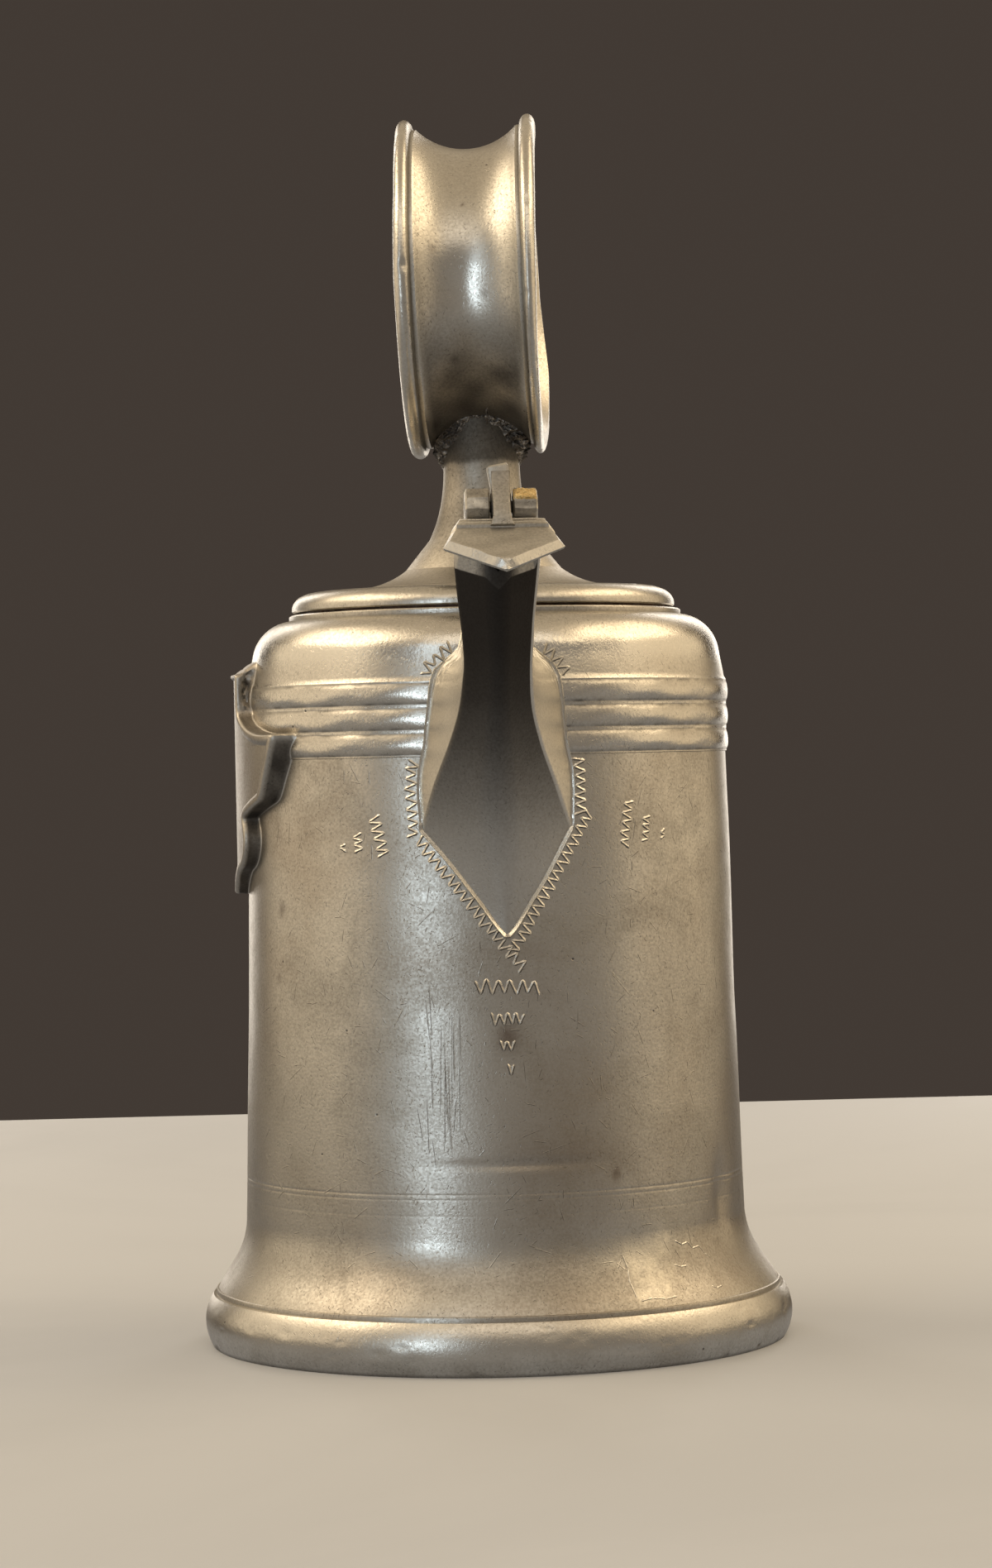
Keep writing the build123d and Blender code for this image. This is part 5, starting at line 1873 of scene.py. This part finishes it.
stroke_points, burr_highlight_mask, cut_dirt_and_shade_mask = strokes(np.concatenate(all_starts), np.concatenate(all_ends))
print("zigzag strokes:", len(stroke_points))

# %% [markdown]
# The same leaves make the scars of the repair beside the foot, several hundred hair-thin scratches from
# use, and a few long scores on the front. The scratches are drawn by seeded chance. Everything is one
# piece, because it all belongs to the bell's surface.

# %% Scars and scratches
scar_lines = (
    # corners as (angle, height)
    ((39.5, 33.3), (41.6, 32.0), (43.4, 32.5), (44.8, 30.6), (47.2, 30.9), (48.4, 28.6), (49.9, 27.4)),
    ((37.6, 27.0), (39.4, 26.2), (41.2, 26.3)),
    ((24.9, 31.0), (25.6, 27.0), (25.1, 23.4), (25.5, 19.3)),
    ((26.2, 18.6), (29.0, 19.1), (32.2, 18.5), (35.1, 18.9)),
    ((45.6, 20.2), (47.0, 19.4), (48.8, 19.8)),
)
scar_starts, scar_ends = [], []
for corners in scar_lines:
    flat = np.radians(np.array(corners)[:, :1]) * unroll_radius
    flat = np.concatenate([flat, np.array(corners)[:, 1:]], axis=1)
    scar_starts.append(flat[:-1])
    scar_ends.append(flat[1:])
scars = strokes(np.concatenate(scar_starts), np.concatenate(scar_ends), 0.45, 0.16)
draw = np.random.default_rng(17)
scratch_count, score_count = 900, 16
scratch_turn = draw.uniform(-np.pi, np.pi, scratch_count)
scratch_height = draw.uniform(22, 168, scratch_count)
scratch_start = joined(scratch_turn, scratch_height)
scratch_start[:, 0] *= unroll_radius
scratch_lean = draw.normal(np.pi / 2, 0.9, scratch_count)
scratch_length = draw.gamma(2.0, 1.1, scratch_count) + 0.8
scratch_run = joined(np.cos(scratch_lean), np.sin(scratch_lean)) * scratch_length[:, None]
score_start = joined(draw.uniform(-19.5, -9.5, score_count), draw.uniform(57, 95, score_count))
score_start[:, 0] *= radians(1) * unroll_radius
score_run = joined(draw.normal(-0.6, 0.9, score_count), draw.uniform(10, 32, score_count))
hair_start = np.concatenate([scratch_start, score_start])
hair_end = hair_start + np.concatenate([scratch_run, score_run])
hair_end[:, 1] = np.clip(hair_end[:, 1], 20, rib_z - 1)
hair_width = np.repeat([0.24, 0.28], [scratch_count, score_count])[:, None, None]
hairlines = strokes(hair_start, hair_end, hair_width, 0.03)
# the scars and scratches carry the same painted highlight on the burr and darkening in the cut
stroke_points = np.concatenate([stroke_points, scars[0], hairlines[0]])
burr_highlight_mask = np.concatenate([burr_highlight_mask, scars[1], 0.35 * hairlines[1]])
cut_dirt_and_shade_mask = np.concatenate([cut_dirt_and_shade_mask, 0.5 * scars[2], 0.95 * hairlines[2]])
add_piece(
    "wrigglework",
    [(stroke_points, False, False)],
    bell_pewter,
    "flagon",
    masks={"highlight_and_wear": burr_highlight_mask, "dark_marks_and_shade": cut_dirt_and_shade_mask},
    crease=60,
)

# %% [markdown]
# ## What stays from the CAD model
#
# The base, the neck ring, the plug with its lugs, the tenon and the hinge pin have the right shape
# already, so they stay and only get a finish. The washer is leather: brown, rough and grained.

# %% Finishes for the CAD pieces
def leather(name):
    """Oiled brown leather: two browns in patches, with a fine grain from cells."""
    material, tree, shader, place = new_material(name)
    patches = group_node(tree, tarnish_group, place, Scale=90.0)
    colour = mix(tree, patches["Patches"], (0.12, 0.06, 0.03, 1), (0.05, 0.026, 0.014, 1))
    tree.links.new(colour, shader.inputs["Base Color"])
    tree.links.new(ramp(tree, patches["Mottle"], -1.0, 1.4), shader.inputs["Roughness"])
    grain = add_node(tree, "TexVoronoi", {"Vector": place, "Scale": 1400.0})
    bump(tree, shader, grain.outputs["Distance"], 0.4, 0.0003)
    return material


iron = plain_metal("pin_iron", (0.24, 0.22, 0.2, 1), (0.08, 0.065, 0.055, 1), 0.5, 300.0, 2000.0, 0.0003)
washer_leather = leather("washer_leather")
kept_finishes = {
    "base_plate": bell_pewter,
    "neck_ring": bell_pewter,
    "lid_plug": lid_pewter,
    "bayonet_lugs": lid_pewter,
    "neck_tenon": lid_pewter,
    "seal_washer": washer_leather,
    "hinge_pin": iron,
}
for node, finish in kept_finishes.items():
    materials = frame["nodes"][node].data.materials
    materials.clear()
    materials.append(finish)
print("CAD pieces kept:", sorted(kept_finishes))

# %% [markdown]
# ## Floor and light
#
# The floor is plain and pale, with faint clouds. It is kept out of the metal's reflections, which
# would turn flat and pale with it.

# %% Floor
floor_half_width, floor_front, floor_back = 2.0, -2.0, 0.79
floor_x = np.linspace(-floor_half_width, floor_half_width, 3)[None, :]
floor_y = np.linspace(floor_front, floor_back, 3)[:, None]
floor_points = joined(floor_x, floor_y, 0 * floor_x)
floor_mesh = bpy.data.meshes.new("floor")
floor_mesh.from_pydata(floor_points.reshape(-1, 3).tolist(), [], grid_quads(3, 3, False, False).tolist())
floor = bpy.data.objects.new("floor", floor_mesh)
bpy.context.scene.collection.objects.link(floor)
floor.visible_glossy = False
floor_paint, floor_tree, floor_shader, floor_place = new_material("floor_paint")
floor_clouds = group_node(floor_tree, tarnish_group, floor_place, Scale=3.0)
floor_colour = mix(floor_tree, floor_clouds["Patches"], (0.44, 0.45, 0.47, 1), (0.42, 0.43, 0.45, 1))
floor_tree.links.new(floor_colour, floor_shader.inputs["Base Color"])
floor_shader.inputs["Roughness"].default_value = 0.8
floor_mesh.materials.append(floor_paint)
print("floor:", 2 * floor_half_width, "m by", floor_back - floor_front, "m")

# %% [markdown]
# Polished metal shows its surroundings more than itself, so the lights are shapes to be mirrored. High
# and low warm boxes left and right give the bell its golden sides, and two more stand at the right
# front and above the front. A cool strip and a small cool spot at the front left make the bluish
# streak, and two strips behind draw thin bright lines along both edges.

# %% Lights
light_aim = Vector((0, 0, 0.17))


def softbox(name, azimuth, distance, height, size, power, colour):
    """A rectangular light round the flagon, with its power in watts for each steradian and square metre."""
    lamp = bpy.data.lights.new(name, "AREA")
    lamp.shape = "RECTANGLE"
    lamp.size, lamp.size_y = size
    lamp.energy = power * np.pi * size[0] * size[1]
    lamp.color = colour
    light = bpy.data.objects.new(name, lamp)
    bpy.context.scene.collection.objects.link(light)
    turn = radians(azimuth)
    light.location = (distance * sin(turn), -distance * cos(turn), height)
    light.rotation_mode = "QUATERNION"
    light.rotation_quaternion = (light_aim - light.location).to_track_quat("-Z", "Y")


warm, golden, cool, plain = (1.0, 0.84, 0.62), (1.0, 0.81, 0.55), (0.7, 0.85, 1.0), (1.0, 0.93, 0.84)
softbox("left_high", -92, 0.95, 1.05, (1.2, 0.65), 3.4, warm)
softbox("right_high", 92, 0.95, 1.05, (1.2, 0.65), 2.8, golden)
softbox("right_front", 45, 1.2, 0.95, (0.5, 0.35), 1.6, golden)
softbox("left_side", -95, 1.2, 0.4, (1.7, 0.75), 1.0, warm)
softbox("right_side", 95, 1.2, 0.4, (1.7, 0.75), 1.0, golden)
softbox("top_front", 0, 1.0, 1.1, (1.3, 0.6), 0.85, plain)
softbox("front_strip", -29, 1.3, 0.42, (0.3, 0.95), 1.2, cool)
softbox("front_spot", -33, 1.28, 0.2, (0.24, 0.3), 4.4, cool)
softbox("back_left", -158, 1.2, 0.45, (0.3, 0.9), 3.0, plain)
softbox("back_right", 158, 1.2, 0.45, (0.3, 0.9), 3.0, plain)

# %% [markdown]
# Between the lights the metal mirrors the room, which is dark behind, lighter in front, warm above and
# grey below. Four mixes by the direction of view make it, without any picture.

# %% Room
bpy.context.scene.view_settings.view_transform = "Standard"
world = bpy.data.worlds.new("studio")
bpy.context.scene.world = world
world.use_nodes = True
room = world.node_tree
wall_tone, front_tone = (0.055, 0.043, 0.035, 1), (0.27, 0.245, 0.22, 1)
low_tone, deep_tone = (0.35, 0.33, 0.31, 1), (0.3, 0.29, 0.28, 1)
ceiling_tone = (0.62, 0.51, 0.37, 1)
look = add_node(room, "SeparateXYZ", {0: add_node(room, "TexCoord").outputs["Generated"]})
room_colour = mix(room, ramp(room, look.outputs[1], 0.2, -0.8), wall_tone, front_tone)
room_colour = mix(room, ramp(room, look.outputs[2], 0.35, 0.65), room_colour, ceiling_tone)
room_colour = mix(room, ramp(room, look.outputs[2], -0.09, -0.14), room_colour, low_tone)
room_colour = mix(room, ramp(room, look.outputs[2], -0.3, -0.75), room_colour, deep_tone)
room.links.new(room_colour, room.nodes["Background"].inputs["Color"])
print("room:", world.name)
